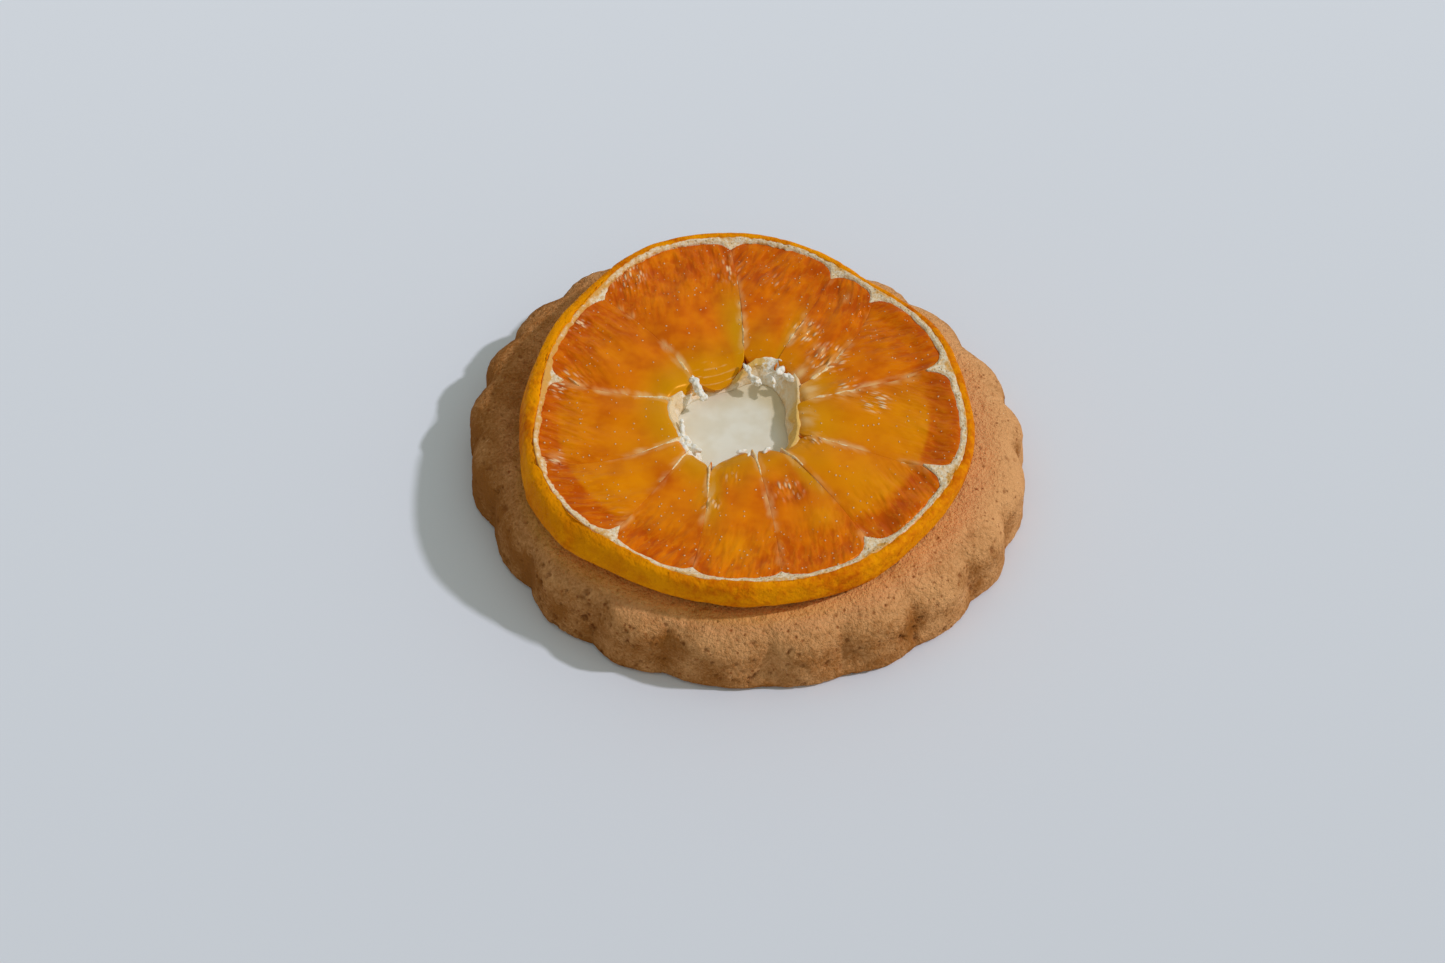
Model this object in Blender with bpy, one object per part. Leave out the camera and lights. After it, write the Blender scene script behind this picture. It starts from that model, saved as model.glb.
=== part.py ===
"""Fruit cookie: a thick fluted shortbread, a disc of white chocolate on it,
and a dried citrus slice with an open core lying on the chocolate.

Metres, +Z up. The origin is the centre of the cookie's flat base, so the
cookie stands on z = 0. -Y is the side towards the viewer.
"""

import bpy
import numpy as np

MM = 0.001
# The outlines are drawn round the cutter's centre. The middle of the uneven
# cookie's box lies this far from it, and becomes the origin.
BOX_MIDDLE = (-0.028, 0.266, 0.0)

# Cookie
COOKIE_RADIUS = 32.0
COOKIE_HEIGHT = 7.9
FLUTE_VALLEYS = (9, 28, 46, 62, 80, 98, 118, 135, 151, 165, 180, 198, 217, 237, 254, 275, 290, 306, 322, 337, 356)
FLUTE_DEPTH = 1.15
FLUTE_SHARPNESS = 1.4
COOKIE_WAVES = ((2, 1.05, -41), (3, 0.2, 6))
# Where the outline was pushed in or out by hand: azimuth, half width, reach.
COOKIE_DENTS = ((292, 34, -0.62), (207, 12, -0.5), (175, 16, 0.45), (262, 9, -0.15), (3, 10, 0.15))
BASE_ROUNDING = 0.7
WALL_LEAN = 0.35
SHOULDER_ACROSS = 4.2
SHOULDER_DOWN = 3.8
LINES_PER_FLUTE = 8

# White chocolate
CHOCOLATE_RADIUS = 19.8
CHOCOLATE_WAVES = ((2, 0.25, 20), (3, 0.3, -15), (5, 0.15, 40))
CHOCOLATE_BOTTOM = 8.15
CHOCOLATE_TOP = 8.95
CHOCOLATE_LINES = 72

# Citrus slice
SLICE_CENTRE = (0.5, -0.3)
RIM_RADIUS = 24.85
RIM_WAVES = ((1, 0.57, -107), (2, 1.04, -73), (3, 0.6, -15), (4, 0.33, 15), (6, 0.16, -29), (8, 0.2, -17))
CORE_CENTRE = (-1.1, -2.4)
CORE_RADIUS = 6.3
CORE_WAVES = ((1, 0.33, 80), (2, 0.67, 17), (3, 0.1, 33), (4, 0.68, -26))
# Each membrane: azimuth at the rim, azimuth at the open core, sideways bow.
MEMBRANES = (
    (12, 18, 0.0), (47, 33, -1.8), (63, 60, 0.0), (95, 81, -0.6),
    (137, 131, -0.9), (172, 157, 0.8), (204, 206, 1.4), (233, 222, 0.3),
    (256, 247, 0.4), (278, 294, 0.4), (302, 321, 0.5), (333, 343, 0.0),
)
MEMBRANE_SHARE = 0.055
PITH_WIDTH = 1.5
SLICE_BOTTOM = 9.3
PEEL_BOTTOM = 8.6
RIM_TOP = 13.0
FLESH_TOP = 12.25
MEMBRANE_RISE = 0.35
# The slice lies a little lower at the front and on the right.
TILT_X = -0.010
TILT_Y = 0.012


def waves(azimuth, mean, terms):
    """Radius: the mean plus, for each term (count, height, peak), a cosine of that many waves."""
    radius = np.full_like(azimuth, mean, dtype=float)
    for count, height, peak in terms:
        radius = radius + height * np.cos(count * (azimuth - np.radians(peak)))
    return radius


def tilt(points):
    """How far the slice's slope lifts each point."""
    return TILT_X * points[..., 0] + TILT_Y * points[..., 1]


def around(azimuth, radius, centre=(0.0, 0.0)):
    """Flat points at these azimuths and radii round a centre."""
    x = centre[0] + radius * np.cos(azimuth)
    y = centre[1] + radius * np.sin(azimuth)
    return np.stack([x, y], axis=-1)


def at_height(flat, height):
    """Flat points given a height, one number or one for each point."""
    z = np.broadcast_to(np.asarray(height, dtype=float), flat.shape[:-1])
    return np.concatenate([flat, z[..., None]], axis=-1)


def add_body(name, rings, closed_tube, colour, roughness, coat):
    """A body from rings of equal length, listed so that its faces point outwards.

    A closed tube joins its last ring to its first. Any other body ends in a
    single point inside its first ring and one inside its last.
    """
    rings = [np.asarray(ring, dtype=float) - BOX_MIDDLE for ring in rings]
    lines = len(rings[0])
    points = np.concatenate(rings)
    faces = []
    count = len(rings)
    for i in range(count if closed_tube else count - 1):
        low = i * lines
        high = ((i + 1) % count) * lines
        for j in range(lines):
            k = (j + 1) % lines
            faces.append((low + j, low + k, high + k, high + j))
    if not closed_tube:
        first = len(points)
        points = np.concatenate([points, rings[0].mean(axis=0)[None], rings[-1].mean(axis=0)[None]])
        top = (count - 1) * lines
        for j in range(lines):
            k = (j + 1) % lines
            faces.append((first, k, j))
            faces.append((first + 1, top + j, top + k))
    mesh = bpy.data.meshes.new(name)
    mesh.from_pydata((points * MM).tolist(), [], faces)
    mesh.shade_smooth()
    mesh.set_sharp_from_angle(angle=np.radians(50))
    material = bpy.data.materials.new(name)
    material.use_nodes = True
    shader = material.node_tree.nodes["Principled BSDF"]
    shader.inputs["Base Color"].default_value = (*colour, 1.0)
    shader.inputs["Roughness"].default_value = roughness
    shader.inputs["Metallic"].default_value = 0.0
    shader.inputs["Coat Weight"].default_value = coat
    mesh.materials.append(material)
    body = bpy.data.objects.new(name, mesh)
    bpy.context.scene.collection.objects.link(body)
    return body


def flute_lines():
    """Azimuths of the cookie's lines, evenly many in each flute, and their crest share.

    The crest share is 0 in a valley and 1 on a crest: the sine over the flute, raised to the sharpness.
    """
    azimuths = []
    shares = []
    valleys = list(FLUTE_VALLEYS) + [FLUTE_VALLEYS[0] + 360]
    for start, end in zip(valleys[:-1], valleys[1:]):
        for step in range(LINES_PER_FLUTE):
            part = step / LINES_PER_FLUTE
            azimuths.append(start + (end - start) * part)
            shares.append(np.sin(np.pi * part) ** FLUTE_SHARPNESS)
    return np.radians(azimuths), np.array(shares)


def cookie_outline():
    """The cookie's azimuths and the radius of its wall at each."""
    azimuth, share = flute_lines()
    radius = waves(azimuth, COOKIE_RADIUS, COOKIE_WAVES)
    radius = radius - FLUTE_DEPTH * (1 - share)
    for centre, half_width, reach in COOKIE_DENTS:
        away = (np.degrees(azimuth) - centre + 180) % 360 - 180
        radius = radius + reach * np.exp(-((away / half_width) ** 2))
    return azimuth, radius


def build_cookie():
    """Flat base, small base rounding, upright fluted wall, wide elliptic shoulder, flat top."""
    azimuth, radius = cookie_outline()
    rings = [at_height(around(azimuth, radius * 0.5), 0.0)]
    for turn in np.linspace(0, np.pi / 2, 4):
        inset = BASE_ROUNDING * (1 - np.sin(turn))
        rings.append(at_height(around(azimuth, radius - inset), BASE_ROUNDING * (1 - np.cos(turn))))
    wall_top = COOKIE_HEIGHT - SHOULDER_DOWN
    middle = (BASE_ROUNDING + wall_top) / 2
    rings.append(at_height(around(azimuth, radius - WALL_LEAN / 2), middle))
    for turn in np.linspace(0, np.pi / 2, 7):
        inset = WALL_LEAN + SHOULDER_ACROSS * (1 - np.cos(turn))
        rings.append(at_height(around(azimuth, radius - inset), wall_top + SHOULDER_DOWN * np.sin(turn)))
    for share in (0.8, 0.55):
        plain = share * COOKIE_RADIUS * np.ones_like(radius)
        rings.append(at_height(around(azimuth, plain), COOKIE_HEIGHT))
    return add_body("cookie", rings, False, (0.52, 0.27, 0.11), 0.85, 0.0)


def build_chocolate():
    """A thin round-edged disc, spread a little unevenly, with a top that slopes as the slice does."""
    azimuth = np.linspace(0, 2 * np.pi, CHOCOLATE_LINES, endpoint=False)
    radius = waves(azimuth, CHOCOLATE_RADIUS, CHOCOLATE_WAVES)
    rings = [at_height(around(azimuth, radius - 0.35), CHOCOLATE_BOTTOM)]
    rings.append(at_height(around(azimuth, radius - 0.05), CHOCOLATE_BOTTOM + 0.15))
    for inset, below in ((0.0, 0.32), (0.12, 0.12), (0.45, 0.0)):
        flat = around(azimuth, radius - inset)
        rings.append(at_height(flat, CHOCOLATE_TOP - below + tilt(flat)))
    for share in (0.7, 0.4):
        flat = around(azimuth, radius * share)
        rings.append(at_height(flat, CHOCOLATE_TOP + tilt(flat)))
    return add_body("white_chocolate", rings, False, (0.85, 0.79, 0.62), 0.4, 0.1)


def slice_lines():
    """For each line of the slice: azimuth at the rim, azimuth at the core, bow, crest and middle shares.

    The lines run from the core to the rim between neighbouring membranes. The
    crest share is 1 on a membrane and 0 in the flesh, and the middle share is
    1 half way between two membranes.
    """
    parts = (0.0, MEMBRANE_SHARE, 0.15, 0.28, 0.4, 0.5, 0.6, 0.72, 0.85, 1 - MEMBRANE_SHARE)
    first = MEMBRANES[0]
    ends = MEMBRANES[1:] + ((first[0] + 360, first[1] + 360, first[2]),)
    lines = []
    for start, end in zip(MEMBRANES, ends):
        for part in parts:
            rim, core, bow = [a + (b - a) * part for a, b in zip(start, end)]
            crest = 1.0 if part == 0.0 else 0.0
            lines.append((np.radians(rim), np.radians(core), bow, crest, np.sin(np.pi * part)))
    return np.array(lines).T


def swell(azimuth, centre, half_width):
    """A smooth bump of 1 at this azimuth in degrees, fading over the half width."""
    away = (np.degrees(azimuth) - centre + 180) % 360 - 180
    return np.exp(-((away / half_width) ** 2))


def build_slice():
    """Peel wall, raised pith rim, sunken flesh between membrane ridges, and the open core."""
    rim, core, bow, crest, middle = slice_lines()
    edge = waves(rim, RIM_RADIUS, RIM_WAVES)
    bulge = 0.95 + 0.5 * np.cos(rim - np.radians(190)) + 0.9 * swell(rim, 225, 22)
    foot = 1.9 * swell(rim, 205, 30) - 0.1
    outer = around(rim, edge - PITH_WIDTH, SLICE_CENTRE)
    inner = around(core, waves(core, CORE_RADIUS, CORE_WAVES), CORE_CENTRE)
    along = (outer - inner) / np.linalg.norm(outer - inner, axis=1)[:, None]
    sideways = np.stack([-along[:, 1], along[:, 0]], axis=1) * bow[:, None]
    rings = []

    def across(share, height):
        flat = inner + (outer - inner) * share + sideways * 4 * share * (1 - share)
        rings.append(at_height(flat, height + tilt(flat)))

    def beyond(reach, height):
        flat = around(rim, edge + reach, SLICE_CENTRE)
        rings.append(at_height(flat, height + tilt(flat)))

    across(0.0, SLICE_BOTTOM)
    across(0.45, SLICE_BOTTOM)
    across(0.97, SLICE_BOTTOM)
    beyond(-1.0, PEEL_BOTTOM)
    beyond(foot, PEEL_BOTTOM)
    beyond(0.55 * foot + 0.45 * bulge + 0.05, PEEL_BOTTOM + 0.7)
    beyond(bulge, RIM_TOP - 2.5)
    beyond(0.5 * bulge + 0.5, RIM_TOP - 1.0)
    beyond(0.25 * bulge + 0.6, RIM_TOP - 0.3)
    beyond(0.3, RIM_TOP)
    beyond(-0.5, RIM_TOP - 0.02)
    beyond(-1.1, RIM_TOP - 0.2)
    across(1.0, FLESH_TOP + 0.1 + MEMBRANE_RISE * crest)
    across(0.9, FLESH_TOP - 0.05 + MEMBRANE_RISE * crest + 0.12 * middle)
    across(0.74, FLESH_TOP - 0.05 + MEMBRANE_RISE * crest + 0.15 * middle)
    across(0.56, FLESH_TOP - 0.1 + MEMBRANE_RISE * crest + 0.1 * middle)
    across(0.38, FLESH_TOP - 0.15 + MEMBRANE_RISE * crest)
    across(0.22, FLESH_TOP - 0.2 + MEMBRANE_RISE * crest)
    across(0.1, FLESH_TOP - 0.15 + MEMBRANE_RISE * crest)
    across(0.02, FLESH_TOP - 0.3 + MEMBRANE_RISE * crest)
    across(-0.01, (FLESH_TOP + SLICE_BOTTOM) / 2)
    return add_body("citrus_slice", rings, True, (0.72, 0.25, 0.01), 0.35, 0.3)


for old in list(bpy.data.objects):
    bpy.data.objects.remove(old, do_unlink=True)

build_cookie()
build_chocolate()
build_slice()
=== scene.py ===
"""The finished look of the fruit cookie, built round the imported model.

Shapes are worked out in millimetres round the cutter's centre, as the solids
are, and are moved to the frame's origin when they become meshes. Azimuths are
degrees in the named values, counted from +X towards +Y. -Y is the side
towards the viewer. Waves round an outline are given as (count, height, peak).
"""

from types import SimpleNamespace

import bpy
import numpy as np
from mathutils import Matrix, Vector


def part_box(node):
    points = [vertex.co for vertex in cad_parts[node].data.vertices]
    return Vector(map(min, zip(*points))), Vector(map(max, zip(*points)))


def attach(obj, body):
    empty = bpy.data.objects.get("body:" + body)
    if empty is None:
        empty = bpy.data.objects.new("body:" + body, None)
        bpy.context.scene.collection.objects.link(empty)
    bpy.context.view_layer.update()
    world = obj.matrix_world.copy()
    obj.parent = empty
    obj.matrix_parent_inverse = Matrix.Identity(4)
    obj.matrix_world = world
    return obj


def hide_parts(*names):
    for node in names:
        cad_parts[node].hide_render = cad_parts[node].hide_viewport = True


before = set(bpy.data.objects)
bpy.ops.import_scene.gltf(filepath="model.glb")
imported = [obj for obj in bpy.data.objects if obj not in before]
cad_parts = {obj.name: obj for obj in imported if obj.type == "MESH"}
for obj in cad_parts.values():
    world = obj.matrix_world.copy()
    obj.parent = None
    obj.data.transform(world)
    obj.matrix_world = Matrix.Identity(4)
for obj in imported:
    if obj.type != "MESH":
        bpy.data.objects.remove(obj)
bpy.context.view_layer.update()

MM = 0.001
# The middle of the uneven cookie's box, seen from the cutter's centre.
BOX_MIDDLE = np.array([-0.028, 0.266, 0.0])

# Cookie
COOKIE_RADIUS = 32.0
COOKIE_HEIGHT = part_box("cookie")[1].z / MM
FLUTE_VALLEYS = (
    9, 28, 46, 62, 80, 98, 118, 135, 151, 165, 180, 198, 217, 237, 254, 275, 290, 306, 322, 337, 356,
)
FLUTE_DEPTH = 1.15
FLUTE_SHARPNESS = 1.0
COOKIE_WAVES = ((2, 1.05, -41), (3, 0.2, 6))
# Where the outline was pushed in or out: azimuth, half width, reach.
COOKIE_DENTS = ((292, 34, -0.62), (207, 12, -0.5), (175, 16, 0.45), (262, 9, -0.15), (3, 10, 0.15))
BASE_ROUNDING = 0.7
WALL_LEAN = 0.35
SHOULDER_ACROSS = 4.2
SHOULDER_DOWN = 3.8
# Under 1 makes the shoulder a little squarer than an ellipse.
SHOULDER_POWER = 0.85
# How much of the flutes is gone where the shoulder meets the flat top.
FLUTE_FADE = 0.6
# Where the finished crust lies inside or outside the plain solid: azimuth, half width, reach.
CRUST_TRIMS = ((190, 32, -0.4), (300, 12, 0.2))
# How far the dough spread at the foot where the flutes are gone.
FOOT_SPREAD = 0.35
# The flat top has even rows out to the shoulder from this radius.
TOP_RING = 18.0
# How far crumbs may stand above the flat top.
CRUMB_RISE = 0.1
# The first rows lie on the flat base and stay level.
BASE_ROWS = 3
COOKIE_COLUMNS = 1050

# White chocolate
CHOCOLATE_RADIUS = 19.8
CHOCOLATE_WAVES = ((2, 0.25, 20), (3, 0.3, -15), (5, 0.15, 40))
CHOCOLATE_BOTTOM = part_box("white_chocolate")[0].z / MM
CHOCOLATE_TOP = 8.95
CHOCOLATE_COLUMNS = 240

# Citrus slice
SLICE_CENTRE = (0.5, -0.3)
RIM_RADIUS = 24.85
RIM_WAVES = ((1, 0.57, -107), (2, 1.04, -73), (3, 0.6, -15), (4, 0.33, 15), (6, 0.16, -29), (8, 0.2, -17))
CORE_CENTRE = (-1.1, -2.4)
CORE_RADIUS = 6.3
CORE_WAVES = ((1, 0.33, 80), (2, 0.67, 17), (3, 0.1, 33), (4, 0.68, -26))
PITH_WIDTH = 1.5
SLICE_BOTTOM = 9.3
PEEL_BOTTOM = 8.6
RIM_TOP = 13.0
FLESH_TOP = 12.25
# The slice lies a little lower at the front and on the right.
TILT_X = -0.010
TILT_Y = 0.012
SLICE_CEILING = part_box("citrus_slice")[1].z / MM - 0.01
SEGMENT_BOTTOM = SLICE_BOTTOM + 0.1
# A usual segment's length, which turns a setback in mm into a share of it.
SEGMENT_LENGTH = 17.0
FACE_COLUMNS = 84
PEEL_COLUMNS = 800
PITH_COLUMNS = 1400
LINING_COLUMNS = 720

# The finished peel's reach beyond the rim at its widest, every 15 degrees from +X.
PEEL_BULGE = (0.45, 0.47, 0.55, 0.7, 0.75, 0.8, 0.9, 0.95, 1.05, 1.2, 1.3, 1.45,
              2.0, 1.75, 1.9, 2.75, 1.85, 1.2, 1.2, 1.05, 0.6, 0.55, 0.55, 0.4)
# Where the pith starts and ends outside the rim's outline, every 15 degrees from +X.
PITH_OUTER = (-0.30, -0.35, -0.15, -0.10, -0.15, -0.15, -0.10, -0.05, 0.0, -0.35, -0.40, -0.45,
              -0.35, 0.05, -0.15, 0.35, 0.25, 0.05, 0.0, -0.05, -0.25, -0.30, -0.30, -0.30)
PITH_INNER = (-1.10, -1.03, -0.81, -0.65, -0.75, -0.68, -0.60, -0.60, -0.62, -0.96, -0.85, -0.85,
              -0.75, -0.55, -0.65, -0.25, -0.40, -0.60, -0.85, -0.78, -0.95, -0.90, -1.0, -1.05)
# Each membrane: azimuth at the rim, azimuth at the core, sideways bow, then
# the pith wedge at its rim end (reach inwards in mm, half width in degrees).
MEMBRANES = (
    (12, 18, 0.0, 2.2, 2.2),
    (47, 33, -1.8, 1.4, 2.3),
    (63, 60, 0.0, 1.3, 2.0),
    (95, 81, -0.6, 1.3, 2.6),
    (137, 131, -0.9, 0.8, 2.6),
    (172, 157, 0.8, 1.8, 2.6),
    (204, 206, 1.4, 0.4, 3.0),
    (233, 222, 0.3, 2.0, 1.9),
    (256, 247, 0.4, 1.0, 2.6),
    (278, 294, 0.4, 0.8, 2.8),
    (302, 321, 0.5, 2.0, 2.8),
    (333, 343, 0.0, 3.0, 2.2),
)
# Where each membrane shows pale: start and end from the core (0) to the rim
# (1), how pale, and width in mm.
PALE_STRETCHES = (
    ((0.1, 0.3, 0.6, 0.5), (0.3, 0.85, 1.0, 0.6), (0.9, 1.0, 0.7, 0.45)),
    ((0.1, 0.2, 0.5, 0.5), (0.2, 0.62, 1.0, 0.85), (0.72, 0.9, 0.4, 0.4)),
    ((0.28, 0.62, 1.0, 0.6), (0.85, 1.0, 0.5, 0.4)),
    ((0.2, 0.5, 0.9, 0.5), (0.5, 0.78, 0.8, 0.4), (0.8, 1.0, 0.5, 0.4)),
    ((0.0, 0.46, 1.0, 0.6), (0.72, 0.9, 0.6, 0.55)),
    ((0.0, 0.35, 1.0, 0.65), (0.35, 0.66, 1.0, 0.85), (0.7, 1.0, 1.0, 0.6)),
    ((0.0, 0.5, 0.9, 0.7), (0.5, 0.65, 0.4, 0.45), (0.85, 1.0, 0.4, 0.4)),
    ((0.0, 0.45, 0.8, 0.4), (0.45, 0.8, 0.45, 0.35), (0.8, 1.0, 0.8, 0.4)),
    ((0.05, 0.38, 1.0, 0.4), (0.38, 0.65, 0.8, 0.35), (0.8, 1.0, 0.5, 0.35)),
    ((0.0, 0.25, 0.9, 0.4), (0.25, 0.6, 0.8, 0.35), (0.6, 1.0, 0.5, 0.35)),
    ((0.0, 0.25, 0.9, 0.45), (0.25, 0.62, 0.6, 0.35), (0.85, 1.0, 0.8, 0.45)),
    ((0.18, 0.5, 0.9, 0.6), (0.7, 1.0, 0.7, 0.45)),
)
# Each flesh segment, from one membrane to the next: rust near the rim, a painted glow of light over the
# chocolate, straw at its tip, along its first flank and its last.
SEGMENTS = (
    (0.8, 0.3, 0.9, 0.0, 0.2),
    (0.5, 0.1, 0.4, 0.4, 0.0),
    (0.6, 0.1, 0.5, 0.7, 0.0),
    (0.4, 0.1, 0.8, 1.0, 0.0),
    (0.4, 0.3, 0.9, 0.0, 0.0),
    (0.4, 0.6, 0.9, 0.2, 0.3),
    (0.4, 0.8, 0.3, 0.0, 0.0),
    (0.25, 0.4, 0.9, 0.0, 0.6),
    (0.1, 0.3, 0.9, 0.9, 0.0),
    (0.25, 0.2, 0.7, 0.0, 0.9),
    (0.6, 1.0, 0.5, 0.0, 0.0),
    (0.8, 1.0, 0.8, 0.0, 0.3),
)
# Each segment's tip: how far back from the core it starts in mm, how long its
# rounding is as a share of its length, and how far it sinks towards the chocolate.
TIPS = (
    (1.3, 0.05, 0.2), (1.9, 0.07, 0.4), (1.9, 0.08, 0.5), (0.7, 0.13, 1.5),
    (0.2, 0.09, 0.2), (0.0, 0.09, 0.2), (0.5, 0.10, 0.2), (0.0, 0.18, 0.4),
    (-0.5, 0.22, 0.5), (-0.2, 0.24, 0.4), (0.4, 0.10, 0.4), (0.1, 0.07, 0.3),
)
# Patches of deeper flesh, of lighter flesh with a painted glow, of plainer flesh without that glow, and of
# pale film or painted sheen: place in mm, radius, strength.
RUST_PATCHES = (
    (16.2, -18.5, 2.6, 0.9), (-9.0, -10.9, 1.8, 0.6), (19.7, 10.0, 4.0, 0.7), (13.3, 15.7, 2.6, 0.7),
    (9.2, 18.3, 3.0, 0.7), (-19.0, 11.6, 3.2, 0.8), (-21.4, -1.0, 2.6, 0.5), (-8.5, 17.5, 2.2, 0.35),
    (-1.5, 19.5, 2.0, 0.4), (-20.0, -11.5, 2.0, 0.5),
)
GLOW_PATCHES = (
    (8.6, -17.1, 2.0, 1.0), (-0.9, -21.1, 2.8, 0.8), (-8.0, -2.0, 2.4, 0.4), (-7.2, 4.2, 1.8, 0.7),
    (7.5, -1.5, 1.6, 0.7), (6.8, 10.5, 2.0, 0.6), (-3.0, -13.0, 1.6, 0.5), (-10.5, 9.5, 2.5, 0.35),
    (13.6, -2.8, 3.2, 0.6), (10.5, -8.5, 3.0, 0.7),
)
AMBER_PATCHES = ((13.5, 2.6, 3.0, 0.8), (-15.5, -1.0, 2.6, 0.7), (7.6, -7.6, 1.5, 0.5))
FILM_AND_SHEEN_PATCHES = (
    (12.0, 15.6, 1.6, 0.35), (11.8, 1.4, 1.9, 0.5), (-20.3, -9.2, 1.4, 0.5), (-14.0, 19.0, 2.0, 0.4),
    (4.8, -13.4, 1.3, 0.5), (-6.9, -0.6, 1.3, 0.5), (6.8, -2.5, 1.8, 0.75), (-20.5, 2.5, 1.6, 0.4),
    (7.0, 1.6, 1.8, 1.0), (6.2, 4.4, 1.5, 0.8), (7.0, 10.4, 1.5, 0.5), (-1.5, 20.6, 2.4, 0.3),
    (7.6, -5.6, 1.2, 0.5), (-18.6, 12.6, 1.5, 0.25), (8.6, 7.0, 1.8, 0.75), (-3.4, -9.4, 0.8, 0.6),
)
# Wet looking clusters of juice sacs, where painted glints are laid on too: place in mm, radius, strength.
WET_PATCHES = (
    (-13.8, 19.0, 2.2, 1.0), (-19.6, 11.8, 1.8, 0.9), (-21.2, -9.4, 1.7, 1.0), (14.8, -0.5, 1.7, 1.0),
    (4.8, -13.2, 1.7, 0.9), (-3.6, -15.2, 1.1, 0.9), (7.0, 10.6, 2.0, 0.9), (9.5, 6.4, 2.4, 0.9),
    (7.6, -5.8, 1.1, 1.0), (-20.5, 2.2, 2.4, 0.85), (-2.0, 20.4, 2.4, 0.6), (3.5, 18.5, 2.0, 0.45),
    (-1.4, -11.2, 1.2, 0.5), (11.6, 1.8, 1.8, 0.7), (15.0, 10.0, 2.6, 0.3), (-13.5, -17.0, 1.4, 0.4),
)
# The edge of the disc of painted glow that the chocolate seems to shine back through the flesh.
GLOW_CENTRE = (0.0, -1.0)
GLOW_RADIUS = 20.6
GLOW_WAVES = ((2, 0.3, 40), (3, 0.35, -30))

# The torn skin that lines the open core, every 15 degrees from +X: how far out
# its top edge lies, how high, how far out its foot lies, and how yellow it is.
LINING = (
    (0.2, 11.6, -0.8, 0.9), (0.7, 11.6, -0.6, 0.5), (1.5, 11.6, 0.0, 0.2), (2.5, 11.6, 0.3, 0.0),
    (3.0, 11.7, 0.9, 0.3), (2.6, 11.7, 1.3, 0.7), (1.4, 10.3, 0.9, 0.9), (1.6, 9.2, 1.2, 0.8),
    (1.4, 9.3, 1.0, 0.6), (0.7, 10.6, 0.4, 0.4), (0.2, 11.6, -0.4, 0.1), (0.2, 11.7, -0.6, 0.0),
    (0.4, 11.7, -0.5, 0.0), (0.4, 11.7, -0.7, 0.2), (0.5, 11.7, -1.3, 0.0), (0.6, 11.6, -1.4, 0.0),
    (0.8, 10.4, -0.2, 0.3), (1.3, 9.2, 0.6, 0.6), (1.0, 9.2, 0.6, 0.4), (1.1, 9.2, 0.7, 0.6),
    (1.1, 9.2, 0.6, 0.6), (1.1, 10.6, 0.3, 0.9), (0.6, 11.4, -0.4, 1.0), (0.2, 11.5, -0.8, 1.0),
)
# Where the torn skin is white and spongy: azimuth, half width, strength.
SPONGY = ((216, 20, 1.0), (140, 10, 0.6), (60, 12, 0.8))
# Loose tufts of pith round the core: place in mm, size along its length,
# across and upwards, and the azimuth it points to.
PITH_TUFTS = (
    (-5.5, 2.9, 11.8, 1.1, 0.45, 0.4, 110), (-5.0, 1.6, 11.5, 1.0, 0.45, 0.45, 125),
    (-4.5, 0.9, 11.2, 0.6, 0.35, 0.35, 30), (-6.9, -3.8, 11.4, 1.3, 0.3, 0.4, 95),
    (-6.4, -5.6, 11.3, 1.2, 0.5, 0.4, 120), (-5.6, -6.6, 11.3, 0.8, 0.4, 0.4, 160),
    (0.4, 5.2, 11.6, 0.9, 0.4, 0.4, 115), (1.1, 4.0, 11.1, 1.0, 0.5, 0.5, 130),
    (4.1, 4.9, 11.7, 0.6, 0.45, 0.45, 60), (3.3, 3.6, 11.1, 0.9, 0.2, 0.4, 100),
    (5.1, 3.9, 11.4, 0.7, 0.4, 0.45, 150), (-0.4, -7.4, 11.6, 0.5, 0.2, 0.2, 20),
    (2.5, -7.2, 11.55, 0.5, 0.3, 0.3, 45), (0.5, -7.9, 11.4, 0.5, 0.15, 0.2, 80),
)

# Random values and spots repeat after this many lattice cells.
LATTICE = 32


def noise(points, size, seed):
    """Smooth noise from -1 to 1: random values on a lattice of this size, eased between its corners."""
    table = np.random.default_rng(seed).uniform(-1.0, 1.0, (LATTICE, LATTICE, LATTICE))
    place = np.asarray(points, dtype=float) / size
    corner = np.floor(place).astype(int)
    part = place - corner
    part = part * part * (3.0 - 2.0 * part)
    total = np.zeros(place.shape[:-1])
    for step in np.ndindex(2, 2, 2):
        at = (corner + step) % LATTICE
        weight = np.where(step, part, 1.0 - part).prod(axis=-1)
        total = total + weight * table[at[..., 0], at[..., 1], at[..., 2]]
    return total


def spots(points, size, seed):
    """Distance to the nearest scattered spot, one in each lattice cube, and that spot's random share.

    The distance is a share of the lattice size.
    """
    table = np.random.default_rng(seed).random((LATTICE, LATTICE, LATTICE, 4))
    place = np.asarray(points, dtype=float) / size
    corner = np.floor(place).astype(int)
    nearest = np.full(place.shape[:-1], 9.0)
    share = np.zeros(place.shape[:-1])
    for step in np.ndindex(3, 3, 3):
        cube = corner + np.array(step) - 1
        at = cube % LATTICE
        spot = table[at[..., 0], at[..., 1], at[..., 2]]
        away = np.linalg.norm(cube + spot[..., :3] - place, axis=-1)
        closer = away < nearest
        nearest = np.where(closer, away, nearest)
        share = np.where(closer, spot[..., 3], share)
    return nearest, share


def ease(value, low, high):
    """A smooth step from 0 at low to 1 at high."""
    part = np.clip((value - low) / (high - low), 0.0, 1.0)
    return part * part * (3.0 - 2.0 * part)


def waves(azimuth, mean, terms):
    """Radius: the mean plus, for each term (count, height, peak), a cosine of that many waves."""
    radius = np.full_like(azimuth, mean, dtype=float)
    for count, height, peak in terms:
        radius = radius + height * np.cos(count * (azimuth - np.radians(peak)))
    return radius


def round_table(azimuth, values):
    """Values given every 15 degrees from +X, read between by straight lines."""
    knots = 15.0 * np.arange(len(values))
    return np.interp(np.degrees(azimuth) % 360.0, knots, values, period=360.0)


def turned_from(azimuth, centre):
    """Degrees from the centre azimuth, between -180 and 180."""
    return (np.degrees(azimuth) - centre + 180.0) % 360.0 - 180.0


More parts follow.
